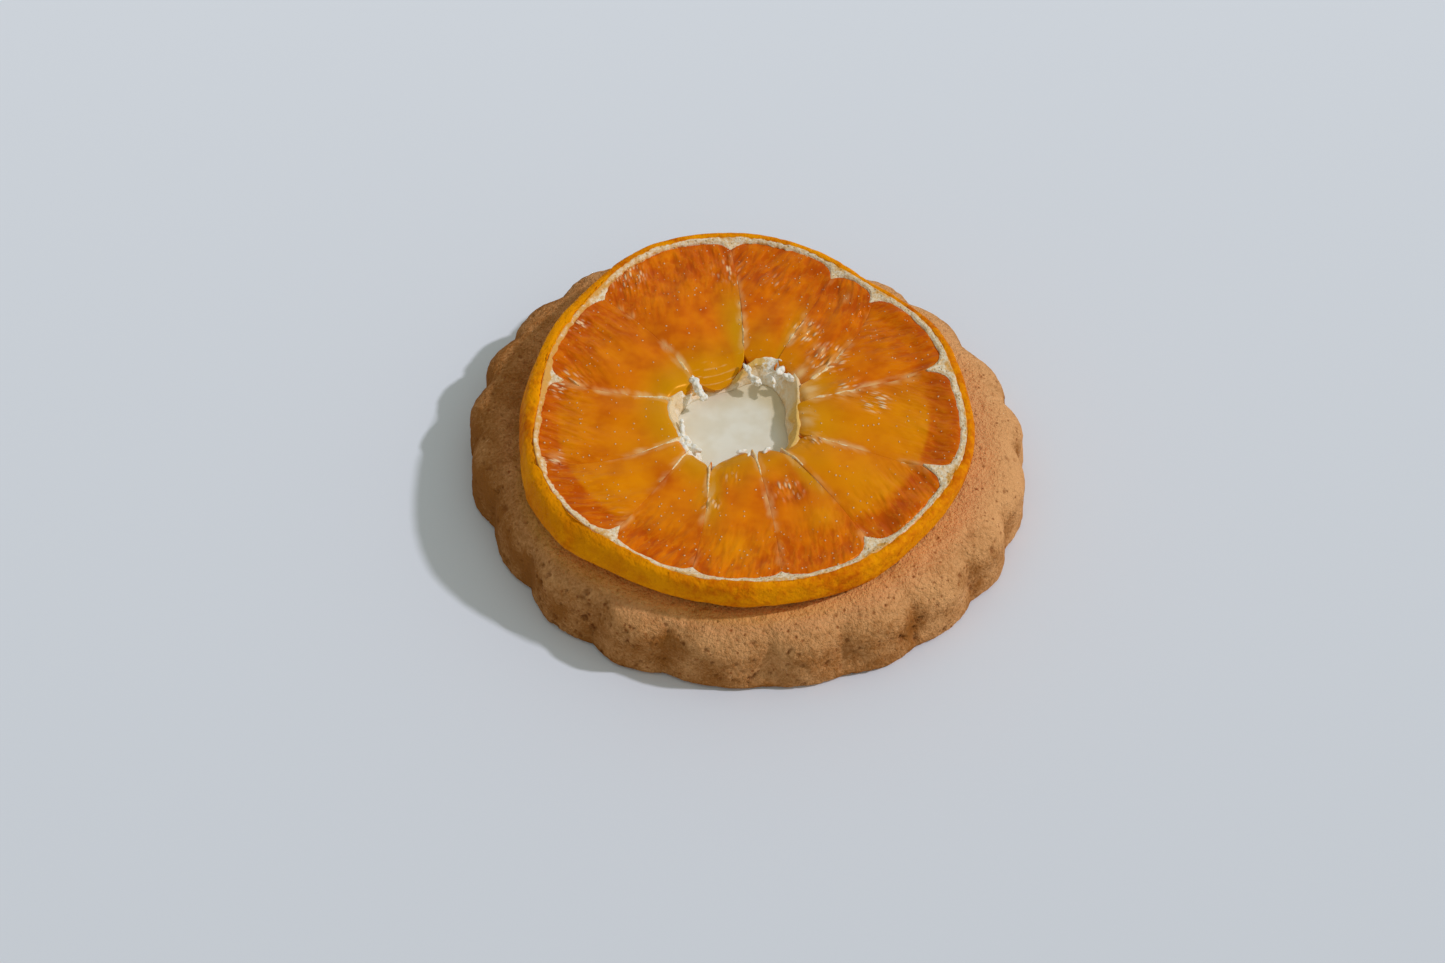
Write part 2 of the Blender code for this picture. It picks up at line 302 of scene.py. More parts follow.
def swell(azimuth, centre, half_width):
    """A smooth bump of 1 at this azimuth, fading over the half width."""
    return np.exp(-((turned_from(azimuth, centre) / half_width) ** 2))


def tilt(flat):
    """How far the slice's slope lifts each point."""
    return TILT_X * flat[..., 0] + TILT_Y * flat[..., 1]


def around(azimuth, radius, centre=(0.0, 0.0)):
    """Flat points at these azimuths and radii round a centre."""
    x = centre[0] + radius * np.cos(azimuth)
    y = centre[1] + radius * np.sin(azimuth)
    return np.stack([x, y], axis=-1)


def seen_from(flat, centre):
    """The azimuth and the distance of points from a centre, seen from above."""
    x = flat[..., 0] - centre[0]
    y = flat[..., 1] - centre[1]
    return np.arctan2(y, x), np.hypot(x, y)


def raised(flat, height):
    """Flat points given a height."""
    return np.concatenate([flat, np.broadcast_to(height, flat.shape[:-1])[..., None]], axis=-1)


def patches(flat, places):
    """The strongest of the round patches at each point, each fading as a bell over its radius."""
    total = np.zeros(flat.shape[:-1])
    for x, y, radius, strength in places:
        away = np.hypot(flat[..., 0] - x, flat[..., 1] - y) / radius
        total = np.maximum(total, strength * np.exp(-away * away))
    return total


def normals_of(grid):
    """Unit normals of a grid whose columns join round: the cross product of its two central differences."""
    along = np.gradient(grid, axis=0)
    across = np.roll(grid, -1, axis=1) - np.roll(grid, 1, axis=1)
    normal = np.cross(across, along)
    return normal / np.maximum(np.linalg.norm(normal, axis=-1, keepdims=True), 1e-9)


def grid_faces(rows, columns, ring):
    """Quads between rows whose columns join round, and triangles to the two poles unless a ring."""
    row = np.arange(rows if ring else rows - 1)[:, None]
    column = np.arange(columns)[None, :]
    after = (column + 1) % columns
    low = row * columns
    high = (row + 1) % rows * columns
    quads = np.stack([low + column, low + after, high + after, high + column], axis=-1).reshape(-1, 4)
    if ring:
        return quads.tolist()
    first = rows * columns
    top = (rows - 1) * columns
    starts = np.stack(np.broadcast_arrays(first, after[0], column[0]), axis=-1)
    ends = np.stack(np.broadcast_arrays(first + 1, top + column[0], top + after[0]), axis=-1)
    return quads.tolist() + starts.tolist() + ends.tolist()


def with_poles(values):
    """Grid values in mesh order, followed by the means of the first and last rows for the poles."""
    flat = values.reshape(-1, *values.shape[2:])
    ends = np.stack([values[0].mean(axis=0), values[-1].mean(axis=0)])
    return np.concatenate([flat, ends])


def add_piece(name, grids, material, node, ring=False, marks=None):
    """A mesh of closed grids in mm, with marks painted on its points as attributes.

    Columns of a grid join round. Its rows join round in a ring, or else each
    end closes in one point.
    """
    points = []
    faces = []
    painted = {key: [] for key in (marks[0] if marks else {})}
    for i, grid in enumerate(grids):
        start = sum(len(done) for done in points)
        points.append(grid.reshape(-1, 3) if ring else with_poles(grid))
        faces += [[start + corner for corner in face] for face in grid_faces(*grid.shape[:2], ring)]
        for key in painted:
            values = marks[i][key]
            painted[key].append(values.reshape(-1, *values.shape[2:]) if ring else with_poles(values))
    mesh = bpy.data.meshes.new(name)
    placed = (np.concatenate(points) - BOX_MIDDLE) * MM
    mesh.from_pydata(placed.tolist(), [], faces)
    for key, parts in painted.items():
        values = np.concatenate(parts).astype(np.float32)
        kind = "FLOAT_VECTOR" if values.ndim == 2 else "FLOAT"
        field = "vector" if values.ndim == 2 else "value"
        mesh.attributes.new(key, kind, "POINT").data.foreach_set(field, values.ravel())
    mesh.shade_smooth()
    mesh.materials.append(material)
    piece = bpy.data.objects.new(name, mesh)
    bpy.context.scene.collection.objects.link(piece)
    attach(piece, "root")
    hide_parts(node)
    return piece


# Materials


def add_node(tree, kind, inputs=None, **settings):
    """A shader node with its settings, each input given a value or another node's output."""
    made = tree.nodes.new(kind)
    for key, value in settings.items():
        setattr(made, key, value)
    for key, value in (inputs or {}).items():
        if isinstance(value, bpy.types.NodeSocket):
            tree.links.new(value, made.inputs[key])
        else:
            made.inputs[key].default_value = value
    return made


def mixed(tree, share, first, second, blend="MIX"):
    """The output of a colour mix, going from the first colour to the second."""
    inputs = {0: share, 6: first, 7: second}
    return add_node(tree, "ShaderNodeMix", inputs, data_type="RGBA", blend_type=blend).outputs[2]


def figured(tree, operation, first, second=0.0, third=0.0, clamp=False):
    """The output of a maths node."""
    inputs = {0: first, 1: second, 2: third}
    return add_node(tree, "ShaderNodeMath", inputs, operation=operation, use_clamp=clamp).outputs[0]


def swayed(tree, texture, reach, value=0.0):
    """A value moved up and down by how far a texture is from 0.5, times the reach."""
    return figured(tree, "MULTIPLY_ADD", figured(tree, "SUBTRACT", texture, 0.5), reach, value)


def laid_over(tree, colour, mask, share, tint):
    """A colour with a tint over it, as strong as this share of the mask."""
    return mixed(tree, figured(tree, "MULTIPLY", mask, share), colour, tint)


def stepped(tree, value, low, high):
    """A smooth step of a value from 0 at low to 1 at high."""
    inputs = {"Value": value, "From Min": low, "From Max": high}
    return add_node(tree, "ShaderNodeMapRange", inputs, interpolation_type="SMOOTHSTEP").outputs["Result"]


def grained(tree, place, spacing, detail=2.0, rough=0.5):
    """Noise from about 0.3 to 0.7 whose lumps are this many millimetres apart."""
    inputs = {"Vector": place, "Scale": 1.0 / (spacing * MM), "Detail": detail, "Roughness": rough}
    return add_node(tree, "ShaderNodeTexNoise", inputs).outputs["Fac"]


def painted_mark(tree, name):
    """A mark painted on the mesh's points."""
    return add_node(tree, "ShaderNodeAttribute", attribute_name=name).outputs["Fac"]


def object_place(tree):
    """Object coordinates, in metres."""
    return add_node(tree, "ShaderNodeTexCoord").outputs["Object"]


def rgba(red, green, blue):
    """An opaque colour in linear light."""
    return (red, green, blue, 1.0)


def make_pores_group():
    """Shader group of scattered pores: how deep each point lies in a pore, and a height that dips there.

    Each cell of a Voronoi pattern has one pore, and only a share of the cells
    keeps it. A soft noise breaks its outline.
    """
    tree = bpy.data.node_groups.new("scattered pores", "ShaderNodeTree")
    face = tree.interface
    face.new_socket("Place", in_out="INPUT", socket_type="NodeSocketVector")
    face.new_socket("Cells per metre", in_out="INPUT", socket_type="NodeSocketFloat")
    face.new_socket("Pore size", in_out="INPUT", socket_type="NodeSocketFloat")
    face.new_socket("Share kept", in_out="INPUT", socket_type="NodeSocketFloat")
    face.new_socket("Pore", in_out="OUTPUT", socket_type="NodeSocketFloat")
    face.new_socket("Height", in_out="OUTPUT", socket_type="NodeSocketFloat")
    entry = tree.nodes.new("NodeGroupInput").outputs
    wobble_inputs = {"Vector": entry["Place"], "Scale": 2600.0, "Detail": 1.0}
    wobble = add_node(tree, "ShaderNodeTexNoise", wobble_inputs).outputs["Fac"]
    cell_inputs = {"Vector": entry["Place"], "Scale": entry["Cells per metre"]}
    cell = add_node(tree, "ShaderNodeTexVoronoi", cell_inputs)
    reach = figured(tree, "MULTIPLY_ADD", wobble, 0.35, cell.outputs["Distance"])
    reach = figured(tree, "SUBTRACT", reach, 0.17)
    inside = figured(tree, "DIVIDE", reach, entry["Pore size"])
    inside = figured(tree, "SUBTRACT", 1.0, inside, clamp=True)
    luck = add_node(tree, "ShaderNodeSeparateColor", {"Color": cell.outputs["Color"]}).outputs[0]
    kept = figured(tree, "LESS_THAN", luck, entry["Share kept"])
    pore = figured(tree, "MULTIPLY", stepped(tree, inside, 0.0, 0.8), kept)
    ending = tree.nodes.new("NodeGroupOutput")
    tree.links.new(pore, ending.inputs["Pore"])
    tree.links.new(figured(tree, "SUBTRACT", 1.0, pore), ending.inputs["Height"])
    return tree


def placed_pores(tree, group, place, spacing, size, kept):
    """The pores group set in a material, with its cells this many millimetres apart."""
    cells = 1.0 / (spacing * MM)
    inputs = {"Place": place, "Cells per metre": cells, "Pore size": size, "Share kept": kept}
    return add_node(tree, "ShaderNodeGroup", inputs, node_tree=group).outputs


def bumped(tree, height, distance, strength=1.0, under=None):
    """A bump's normal, laid over another normal where one is given. The distance is in millimetres."""
    inputs = {"Height": height, "Distance": distance * MM, "Strength": strength}
    if under is not None:
        inputs["Normal"] = under
    return add_node(tree, "ShaderNodeBump", inputs).outputs["Normal"]


def new_material(name, roughness, specular, coat=0.0, coat_roughness=0.1):
    """A material with its shader's constant settings. Gives the material and its tree."""
    material = bpy.data.materials.new(name)
    material.use_nodes = True
    shader = material.node_tree.nodes["Principled BSDF"]
    shader.inputs["Roughness"].default_value = roughness
    shader.inputs["Specular IOR Level"].default_value = specular
    shader.inputs["Coat Weight"].default_value = coat
    shader.inputs["Coat Roughness"].default_value = coat_roughness
    return material, material.node_tree


def finished(material, colour, normal=None):
    """The material, with this colour and normal linked to its shader."""
    tree = material.node_tree
    shader = tree.nodes["Principled BSDF"]
    tree.links.new(colour, shader.inputs["Base Color"])
    if normal is not None:
        tree.links.new(normal, shader.inputs["Normal"])
    return material


def crust_material(pores):
    """Sandy shortbread with crumb grain and small red brown pores: browner or painted with shade, pitted, or
    lit by a painted orange glow where marked.
    """
    material, tree = new_material("baked crust", 0.9, 0.06)
    place = object_place(tree)
    soft = grained(tree, place, 2.4, 3.0)
    fine = grained(tree, place, 0.55, 3.0, 0.7)
    sand = grained(tree, place, 0.3, 2.0, 0.6)
    # The browning mark holds browning in noise, painted shade at the left, on the wall and in the valleys,
    # and painted light at the right.
    shade = painted_mark(tree, "browning_and_shade")
    for grain, weight in ((soft, 0.7), (fine, 0.9), (sand, 0.75)):
        shade = figured(tree, "MULTIPLY_ADD", grain, weight, shade)
    shade = stepped(tree, shade, 0.85, 2.1)
    colour = mixed(tree, shade, rgba(0.84, 0.41, 0.152), rgba(0.37, 0.13, 0.024))
    bunched = stepped(tree, grained(tree, place, 4.0, 1.0), 0.42, 0.58)
    kept = figured(tree, "MULTIPLY_ADD", bunched, 0.4, 0.05)
    speck = placed_pores(tree, pores, place, 0.75, 0.32, kept)
    colour = laid_over(tree, colour, speck["Pore"], 0.75, rgba(0.32, 0.085, 0.016))
    colour = laid_over(tree, colour, painted_mark(tree, "pitted"), 0.75, rgba(0.25, 0.07, 0.012))
    # Painted orange glow, as of light through the slice, on the crust beside the peel.
    colour = laid_over(tree, colour, painted_mark(tree, "slice_glow"), 0.4, rgba(1.0, 0.50, 0.07))
    crumbs = figured(tree, "MULTIPLY_ADD", speck["Height"], 0.15, fine)
    crumbs = figured(tree, "MULTIPLY_ADD", sand, 0.4, crumbs)
    return finished(material, colour, bumped(tree, crumbs, 0.5))


def chocolate_material():
    """Ivory white chocolate with a soft sheen, faintly clouded, and darker and yellower with painted shade
    where marked.
    """
    material, tree = new_material("white chocolate", 0.4, 0.25)
    place = object_place(tree)
    cloud = stepped(tree, grained(tree, place, 3.0, 2.0), 0.35, 0.65)
    colour = mixed(tree, cloud, rgba(0.84, 0.78, 0.62), rgba(0.78, 0.70, 0.52))
    # Painted shade near the core's skin, tinged by the flesh.
    colour = mixed(tree, painted_mark(tree, "painted_core_shade"), colour, rgba(0.60, 0.45, 0.19))
    return finished(material, colour, bumped(tree, grained(tree, place, 1.4, 1.0), 0.08, 0.5))


def peel_material(pores):
    """Dried citrus peel: brighter and deeper in patches, yellower where marked, and finely dimpled."""
    material, tree = new_material("dried peel", 0.55, 0.02)
    place = object_place(tree)
    patchy = grained(tree, place, 2.2, 3.0, 0.6)
    mottled = grained(tree, place, 0.8, 3.0, 0.6)
    shade = figured(tree, "MULTIPLY_ADD", patchy, 0.9, painted_mark(tree, "deep"))
    shade = stepped(tree, figured(tree, "MULTIPLY_ADD", mottled, 0.9, shade), 0.62, 1.35)
    colour = mixed(tree, shade, rgba(0.96, 0.335, 0.001), rgba(0.62, 0.115, 0.001))
    yellow = figured(tree, "MULTIPLY", painted_mark(tree, "yellowed"), stepped(tree, mottled, 0.2, 0.6))
    colour = mixed(tree, yellow, colour, rgba(0.86, 0.29, 0.001))
    oil = placed_pores(tree, pores, place, 0.55, 0.4, 0.8)
    colour = laid_over(tree, colour, oil["Pore"], 0.2, rgba(0.66, 0.18, 0.001))
    uneven = figured(tree, "MULTIPLY_ADD", mottled, 1.6, figured(tree, "MULTIPLY", oil["Height"], 0.25))
    return finished(material, colour, bumped(tree, uneven, 0.16))


def pith_material(pores):
    """Dry spongy pith: cream with tan patches and small holes, and stained with juice where marked."""
    material, tree = new_material("dry pith", 0.95, 0.05)
    place = object_place(tree)
    spongy = grained(tree, place, 0.35, 3.0, 0.7)
    patchy = grained(tree, place, 0.9, 2.0, 0.6)
    hole = placed_pores(tree, pores, place, 0.42, 0.4, 0.5)
    colour = mixed(tree, stepped(tree, spongy, 0.35, 0.65), rgba(0.82, 0.54, 0.25), rgba(0.92, 0.79, 0.56))
    colour = laid_over(tree, colour, hole["Pore"], 0.4, rgba(0.66, 0.36, 0.10))
    stain = figured(tree, "MULTIPLY_ADD", patchy, 1.6, painted_mark(tree, "stained"))
    colour = mixed(tree, stepped(tree, stain, 0.9, 1.5), colour, rgba(0.76, 0.38, 0.08))
    height = figured(tree, "MULTIPLY_ADD", hole["Height"], 0.8, spongy)
    return finished(material, colour, bumped(tree, height, 0.16, 0.8))


def flesh_colour(tree, place, drawn):
    """Amber flesh, with a painted glow over the chocolate, rust deepened by painted shade, straw where
    marked, and bright thin walls between juice sacs.

    Gives the colour and the streaks along the flow that it follows.
    """
    streak = grained(tree, drawn, 0.8, 3.0, 0.55)
    blot = grained(tree, place, 2.6, 2.0, 0.55)
    streaky = figured(tree, "MULTIPLY_ADD", painted_mark(tree, "streaky"), 0.45, 0.05)
    lift = swayed(tree, blot, 0.65, swayed(tree, streak, streaky))
    shade = stepped(tree, lift, -0.25, 0.25)
    colour = mixed(tree, shade, rgba(0.56, 0.078, 0.001), rgba(0.88, 0.19, 0.001))
    tints = (
        ("chocolate_glow", 0.5, rgba(0.87, 0.28, 0.001)),
        ("rust_and_shade", -0.9, rgba(0.52, 0.072, 0.001)),
        ("strawy", 0.5, rgba(0.70, 0.285, 0.002)),
    )
    for mark, weight, tint in tints:
        share = figured(tree, "MULTIPLY_ADD", lift, weight, painted_mark(tree, mark), clamp=True)
        colour = mixed(tree, share, colour, tint)
    wall = figured(tree, "ABSOLUTE", figured(tree, "SUBTRACT", streak, 0.5))
    wall = figured(tree, "SUBTRACT", 1.0, stepped(tree, wall, 0.0, 0.045))
    wall = figured(tree, "MULTIPLY", wall, figured(tree, "MULTIPLY", streaky, 0.3))
    return mixed(tree, wall, colour, rgba(0.95, 0.38, 0.012)), streak


def flesh_material(pores):
    """Glossy dried flesh: juice sacs along the flow, wet, or with pale film or painted sheen, where marked,
    and painted glints as bright specks.
    """
    material, tree = new_material("citrus flesh", 0.28, 0.3)
    shader = tree.nodes["Principled BSDF"]
    shader.inputs["Specular Tint"].default_value = rgba(1.0, 0.46, 0.06)
    place = object_place(tree)
    flow = add_node(tree, "ShaderNodeAttribute", attribute_name="flow").outputs["Vector"]
    drawn = add_node(tree, "ShaderNodeMapping", {"Vector": flow, "Scale": (1.0, 0.38, 1.0)}).outputs[0]
    colour, streak = flesh_colour(tree, place, drawn)
    wet = painted_mark(tree, "wet")
    streaky = painted_mark(tree, "streaky")
    # Pale film, and painted sheen in some patches.
    film = stepped(tree, swayed(tree, streak, 0.8, painted_mark(tree, "film_and_sheen")), 0.12, 1.0)
    colour = laid_over(tree, colour, film, 0.8, rgba(0.90, 0.56, 0.22))
    # Painted glints: bright flecks in the wet patches, and bright dots scattered everywhere.
    fleck = placed_pores(tree, pores, drawn, 0.4, 0.6, 0.7)["Pore"]
    dotted = figured(tree, "MULTIPLY_ADD", streaky, 0.35, 0.35)
    dot = placed_pores(tree, pores, place, 0.65, 0.2, dotted)["Pore"]
    bright = figured(tree, "MULTIPLY", fleck, stepped(tree, wet, 0.2, 0.7))
    bright = figured(tree, "MAXIMUM", bright, figured(tree, "MULTIPLY", dot, 0.75))
    colour = laid_over(tree, colour, bright, 0.95, rgba(1.0, 0.68, 0.36))
    sacs = grained(tree, drawn, 0.8, 1.0)
    height = swayed(tree, sacs, figured(tree, "MULTIPLY_ADD", wet, 1.6, streaky))
    height = figured(tree, "MULTIPLY_ADD", bright, 0.35, height)
    roughness = figured(tree, "MULTIPLY_ADD", wet, -0.12, 0.28)
    roughness = figured(tree, "MULTIPLY_ADD", bright, -0.12, roughness)
    tree.links.new(roughness, shader.inputs["Roughness"])
    return finished(material, colour, bumped(tree, height, 0.3))


def membrane_material():
    """Thin skin between the segments: pale and fibrous where marked, else the flesh's amber."""
    material, tree = new_material("segment membrane", 0.5, 0.03, 0.1, 0.2)
    place = object_place(tree)
    fibre = grained(tree, place, 0.4, 3.0, 0.6)
    broken = grained(tree, place, 1.5, 3.0, 0.6)
    pale = figured(tree, "MULTIPLY_ADD", broken, 1.4, painted_mark(tree, "pale"))
    pale = stepped(tree, figured(tree, "MULTIPLY_ADD", fibre, 0.5, pale), 0.9, 1.8)
    film = mixed(tree, stepped(tree, fibre, 0.35, 0.65), rgba(0.86, 0.50, 0.15), rgba(0.94, 0.74, 0.44))
    colour = mixed(tree, pale, rgba(0.74, 0.19, 0.002), film)
    return finished(material, colour, bumped(tree, fibre, 0.1, 0.7))


def lining_material(pores):
    """The core's torn skin: a beige film, straw yellow or white and spongy where marked."""
    material, tree = new_material("core skin", 0.6, 0.04, 0.1, 0.25)
    place = object_place(tree)
    fold = grained(tree, place, 1.1, 3.0, 0.6)
    spongy = grained(tree, place, 0.4, 3.0, 0.65)
    hole = placed_pores(tree, pores, place, 0.55, 0.35, 0.4)
    film = mixed(tree, stepped(tree, fold, 0.38, 0.62), rgba(0.84, 0.62, 0.34), rgba(0.88, 0.74, 0.52))
    straw = stepped(tree, swayed(tree, fold, 1.6, painted_mark(tree, "strawy")), 0.1, 0.9)
    film = mixed(tree, straw, film, rgba(0.82, 0.50, 0.13))
    white = mixed(tree, stepped(tree, spongy, 0.3, 0.6), rgba(0.88, 0.74, 0.50), rgba(0.96, 0.91, 0.78))
    white = laid_over(tree, white, hole["Pore"], 0.35, rgba(0.74, 0.48, 0.18))
    sponge = stepped(tree, swayed(tree, spongy, 1.5, painted_mark(tree, "spongy")), 0.3, 0.7)
    height = figured(tree, "MULTIPLY_ADD", hole["Height"], 0.4, spongy)
    return finished(material, mixed(tree, sponge, film, white), bumped(tree, height, 0.12, 0.8))


# Cookie


def cookie_radius(azimuth, faded=0.0):
    """The wall's radius: slow waves, less the flute depth between crests, plus the dents.

    A flute's crest share is the sine over it raised to the sharpness, and a
    faded flute goes over to its mean depth.
    """
    valleys = np.radians(np.append(FLUTE_VALLEYS, FLUTE_VALLEYS[0] + 360))
    place = (azimuth - valleys[0]) % (2 * np.pi) + valleys[0]
    flute = np.searchsorted(valleys, place, side="right") - 1
    part = (place - valleys[flute]) / (valleys[flute + 1] - valleys[flute])
    crest = np.sin(np.pi * np.clip(part, 0.0, 1.0)) ** FLUTE_SHARPNESS
    crest = crest + (0.5 - crest) * faded
    radius = waves(azimuth, COOKIE_RADIUS, COOKIE_WAVES) - FLUTE_DEPTH * (1.0 - crest)
    for centre, half_width, reach in COOKIE_DENTS + CRUST_TRIMS:
        radius = radius + reach * swell(azimuth, centre, half_width)
    return radius


def foot_fade(azimuth):
    """How much of the flutes is gone at the foot: most of them at the front, where the dough spread."""
    return 0.1 + 0.6 * swell(azimuth, 288, 34)


def cookie_profile(azimuth):
    """Rows of points from the base up the leaning wall and over the shoulder to the middle of the top."""
    wall_top = COOKIE_HEIGHT - SHOULDER_DOWN
    faded = foot_fade(azimuth)
    foot = cookie_radius(azimuth, faded) + FOOT_SPREAD * faded
    rows = [raised(around(azimuth, foot * share), 0.0) for share in (0.5, 0.85)]
    for turn in np.linspace(0, np.pi / 2, 6):
        inset = BASE_ROUNDING * (1 - np.sin(turn))
        rows.append(raised(around(azimuth, foot - inset), BASE_ROUNDING * (1 - np.cos(turn))))
    for part in np.linspace(0, 1, 16)[1:-1]:
        height = BASE_ROUNDING + (wall_top - BASE_ROUNDING) * part
        left_over = faded * (1 - ease(part, 0.0, 0.6))
        wall = cookie_radius(azimuth, left_over) + FOOT_SPREAD * left_over
        rows.append(raised(around(azimuth, wall - WALL_LEAN * part), height))
    for turn in np.linspace(0, np.pi / 2, 36):
        inset = WALL_LEAN + SHOULDER_ACROSS * (1 - np.cos(turn) ** SHOULDER_POWER)
        radius = cookie_radius(azimuth, FLUTE_FADE * ease(turn, 0.3, 1.5)) - inset
        height = wall_top + SHOULDER_DOWN * np.sin(turn) ** SHOULDER_POWER
        rows.append(raised(around(azimuth, radius), height))
    edge = cookie_radius(azimuth, FLUTE_FADE) - WALL_LEAN - SHOULDER_ACROSS
    for part in np.linspace(0, 1, 30)[1:]:
        rows.append(raised(around(azimuth, edge + (TOP_RING - edge) * part), COOKIE_HEIGHT))
    rows += [raised(around(azimuth, radius), COOKIE_HEIGHT) for radius in (12.0, 5.0)]
    return np.stack(rows)


def crust_pits(grid, wallness, hollow):
    """How deep each point lies in a large and in a small pit: scattered, and more of them on the wall."""
    ragged = np.stack([noise(grid, 0.7, seed) for seed in (101, 102, 103)], axis=-1)
    away, luck = spots(grid + 0.35 * ragged, 1.9, 15)
    kept = ease(luck + 0.5 * wallness + 0.3 * hollow, 0.7, 0.95)
    large = ease(0.10 + 0.20 * luck - away, 0.0, 0.14) * kept
    away, luck = spots(grid + 0.2 * ragged, 0.95, 16)
    kept = ease(luck + 0.35 * wallness + 0.35 * hollow, 0.72, 0.9)
    return large, ease(0.30 - away, 0.0, 0.16) * kept


def crust_browning_and_shade(azimuth, grid, wallness, hollow):
    """How brown the crust is, in noise, with painted shade at the left, on the wall and in its valleys, and
    painted light at the right.
    """
    browning_and_shade = 0.5 * wallness ** 0.8 + 0.58 * swell(azimuth, 172, 52) - 0.25 * swell(azimuth, 0, 45)
    browning_and_shade = browning_and_shade + 0.25 * noise(grid, 3.4, 17) * (0.4 + wallness)
    browning_and_shade = browning_and_shade + 0.15 * noise(grid, 1.3, 18) + 0.28 * hollow * (0.8 + noise(grid, 2.2, 19))
    return browning_and_shade - 0.05


def painted_slice_glow(grid):
    """How strongly a painted orange glow, as of light through the slice, lightens the crust: under and
    beside the peel, most at the front left.
    """
    bearing, distance = seen_from(grid, SLICE_CENTRE)
    past_peel = distance - waves(bearing, RIM_RADIUS, RIM_WAVES) - round_table(bearing, PEEL_BULGE)
    return (1 - ease(past_peel, -0.5, 1.4)) * (0.25 + 0.75 * swell(bearing, 240, 60))


def build_cookie(material):
    """The crust: the cookie's profile, moved along its normals by four sizes of noise and by pits.

    Pits are deepest on the wall, and painted shade darkens the valleys between its flutes.
    """
    azimuth = np.linspace(0, 2 * np.pi, COOKIE_COLUMNS, endpoint=False)
    grid = cookie_profile(azimuth)
    normal = normals_of(grid)
    wallness = 1.0 - np.clip(normal[..., 2], 0.0, 1.0)
    valley = (cookie_radius(azimuth, 1.0) - cookie_radius(azimuth)) / FLUTE_DEPTH + 0.5
    hollow = ease(valley, 0.25, 0.9) * ease(wallness, 0.2, 0.7)
    large, small = crust_pits(grid, wallness, hollow)
    pitted = np.clip(large * (0.35 + 0.65 * wallness) + 0.65 * small, 0.0, 1.0)
    relief = 0.12 * noise(grid, 5.2, 11) + 0.06 * noise(grid, 2.1, 12)
    relief = relief + 0.07 * noise(grid, 0.9, 13) + 0.05 * noise(grid, 0.5, 14)
    relief = relief - 0.5 * large * (0.3 + 0.7 * wallness) - 0.2 * small
    relief[:BASE_ROWS] = 0.0
    low = np.array(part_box("cookie")[0]) / MM + BOX_MIDDLE
    high = np.array(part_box("cookie")[1]) / MM + BOX_MIDDLE
    high[2] += CRUMB_RISE
    grid = np.clip(grid + normal * relief[..., None], low, high)
    # Browning with painted shade at the left, on the wall and in the valleys, and painted light at the
    # right.
    browning_and_shade = crust_browning_and_shade(azimuth, grid, wallness, hollow)
    marks = [{"browning_and_shade": browning_and_shade, "pitted": pitted, "slice_glow": painted_slice_glow(grid)}]
    return add_piece("cookie_crust", [grid], material, "cookie", marks=marks)


def build_chocolate(material):
    """A thin round-edged disc whose top slopes with the slice and rises very slightly in slow waves.

    Painted shade, tinged by the flesh, darkens it near the core's skin.
    """
    azimuth = np.linspace(0, 2 * np.pi, CHOCOLATE_COLUMNS, endpoint=False)
    radius = waves(azimuth, CHOCOLATE_RADIUS, CHOCOLATE_WAVES)
    middle = (CHOCOLATE_BOTTOM + CHOCOLATE_TOP) / 2
    half = (CHOCOLATE_TOP - CHOCOLATE_BOTTOM) / 2
    rows = [raised(around(azimuth, radius * 0.6), CHOCOLATE_BOTTOM)]
    for turn in np.linspace(-np.pi / 2, np.pi / 2, 13):
        flat = around(azimuth, radius - half * (1 - np.cos(turn)))
        lift = tilt(flat) * (1 + np.sin(turn)) / 2
        rows.append(raised(flat, middle + half * np.sin(turn) + lift))
    for share in np.linspace(0.97, 0.02, 60):
        flat = around(azimuth, (radius - half) * share)
        rows.append(raised(flat, CHOCOLATE_TOP + tilt(flat)))
    grid = np.stack(rows)
    top = ease(grid[..., 2], CHOCOLATE_TOP - 0.4, CHOCOLATE_TOP - 0.2)
    grid[..., 2] += 0.06 * top * noise(grid, 3.0, 21)
    bearing, distance = seen_from(grid, CORE_CENTRE)
    near_skin = ease(distance - waves(bearing, CORE_RADIUS, CORE_WAVES), -3.2, -0.4)
    # Painted shade, most towards the back right of the core.
    marks = [{"painted_core_shade": near_skin * (0.12 + 0.5 * swell(bearing, 35, 60))}]
    return add_piece("white_chocolate_disc", [grid], material,
                     "white_chocolate", marks=marks)


# Citrus slice


def rim_point(azimuth, reach):
    """Flat points this far outside the rim's outline."""
    return around(azimuth, waves(azimuth, RIM_RADIUS, RIM_WAVES) + reach, SLICE_CENTRE)


def core_point(azimuth, reach=0.0):
    """Flat points this far outside the open core's outline."""
    return around(azimuth, waves(azimuth, CORE_RADIUS, CORE_WAVES) + reach, CORE_CENTRE)


def across_slice(rim, core, bow, share):
    """Flat points on the bowed line from the core (share 0) to the pith (share 1)."""
    outer = rim_point(rim, -PITH_WIDTH)
    inner = core_point(core)
    along = outer - inner
    unit = along / np.linalg.norm(along, axis=-1, keepdims=True)
    sideways = np.stack([-unit[..., 1], unit[..., 0]], axis=-1)
    bend = bow * 4 * share * (1 - share)
    return inner + along * share[..., None] + sideways * bend[..., None]


def membrane_line(index, share):
    """Flat points on a membrane's bowed line, at these shares of its length."""
    rim, core, bow = MEMBRANES[index][:3]
    return across_slice(np.radians(rim), np.radians(core), bow, share)


def flesh_level(share, middle):
    """Height of the cut face: low at the core, up at the pith, and fuller in the middle of a segment."""
    knots = (0.0, 0.1, 0.22, 0.38, 0.56, 0.74, 0.9, 1.0)
    level = np.interp(share, knots, (-0.3, -0.15, -0.2, -0.15, -0.1, -0.05, -0.05, 0.1))
    fullness = np.interp(share, knots, (0.0, 0.0, 0.0, 0.03, 0.1, 0.15, 0.12, 0.0))
    return FLESH_TOP + level + fullness * middle


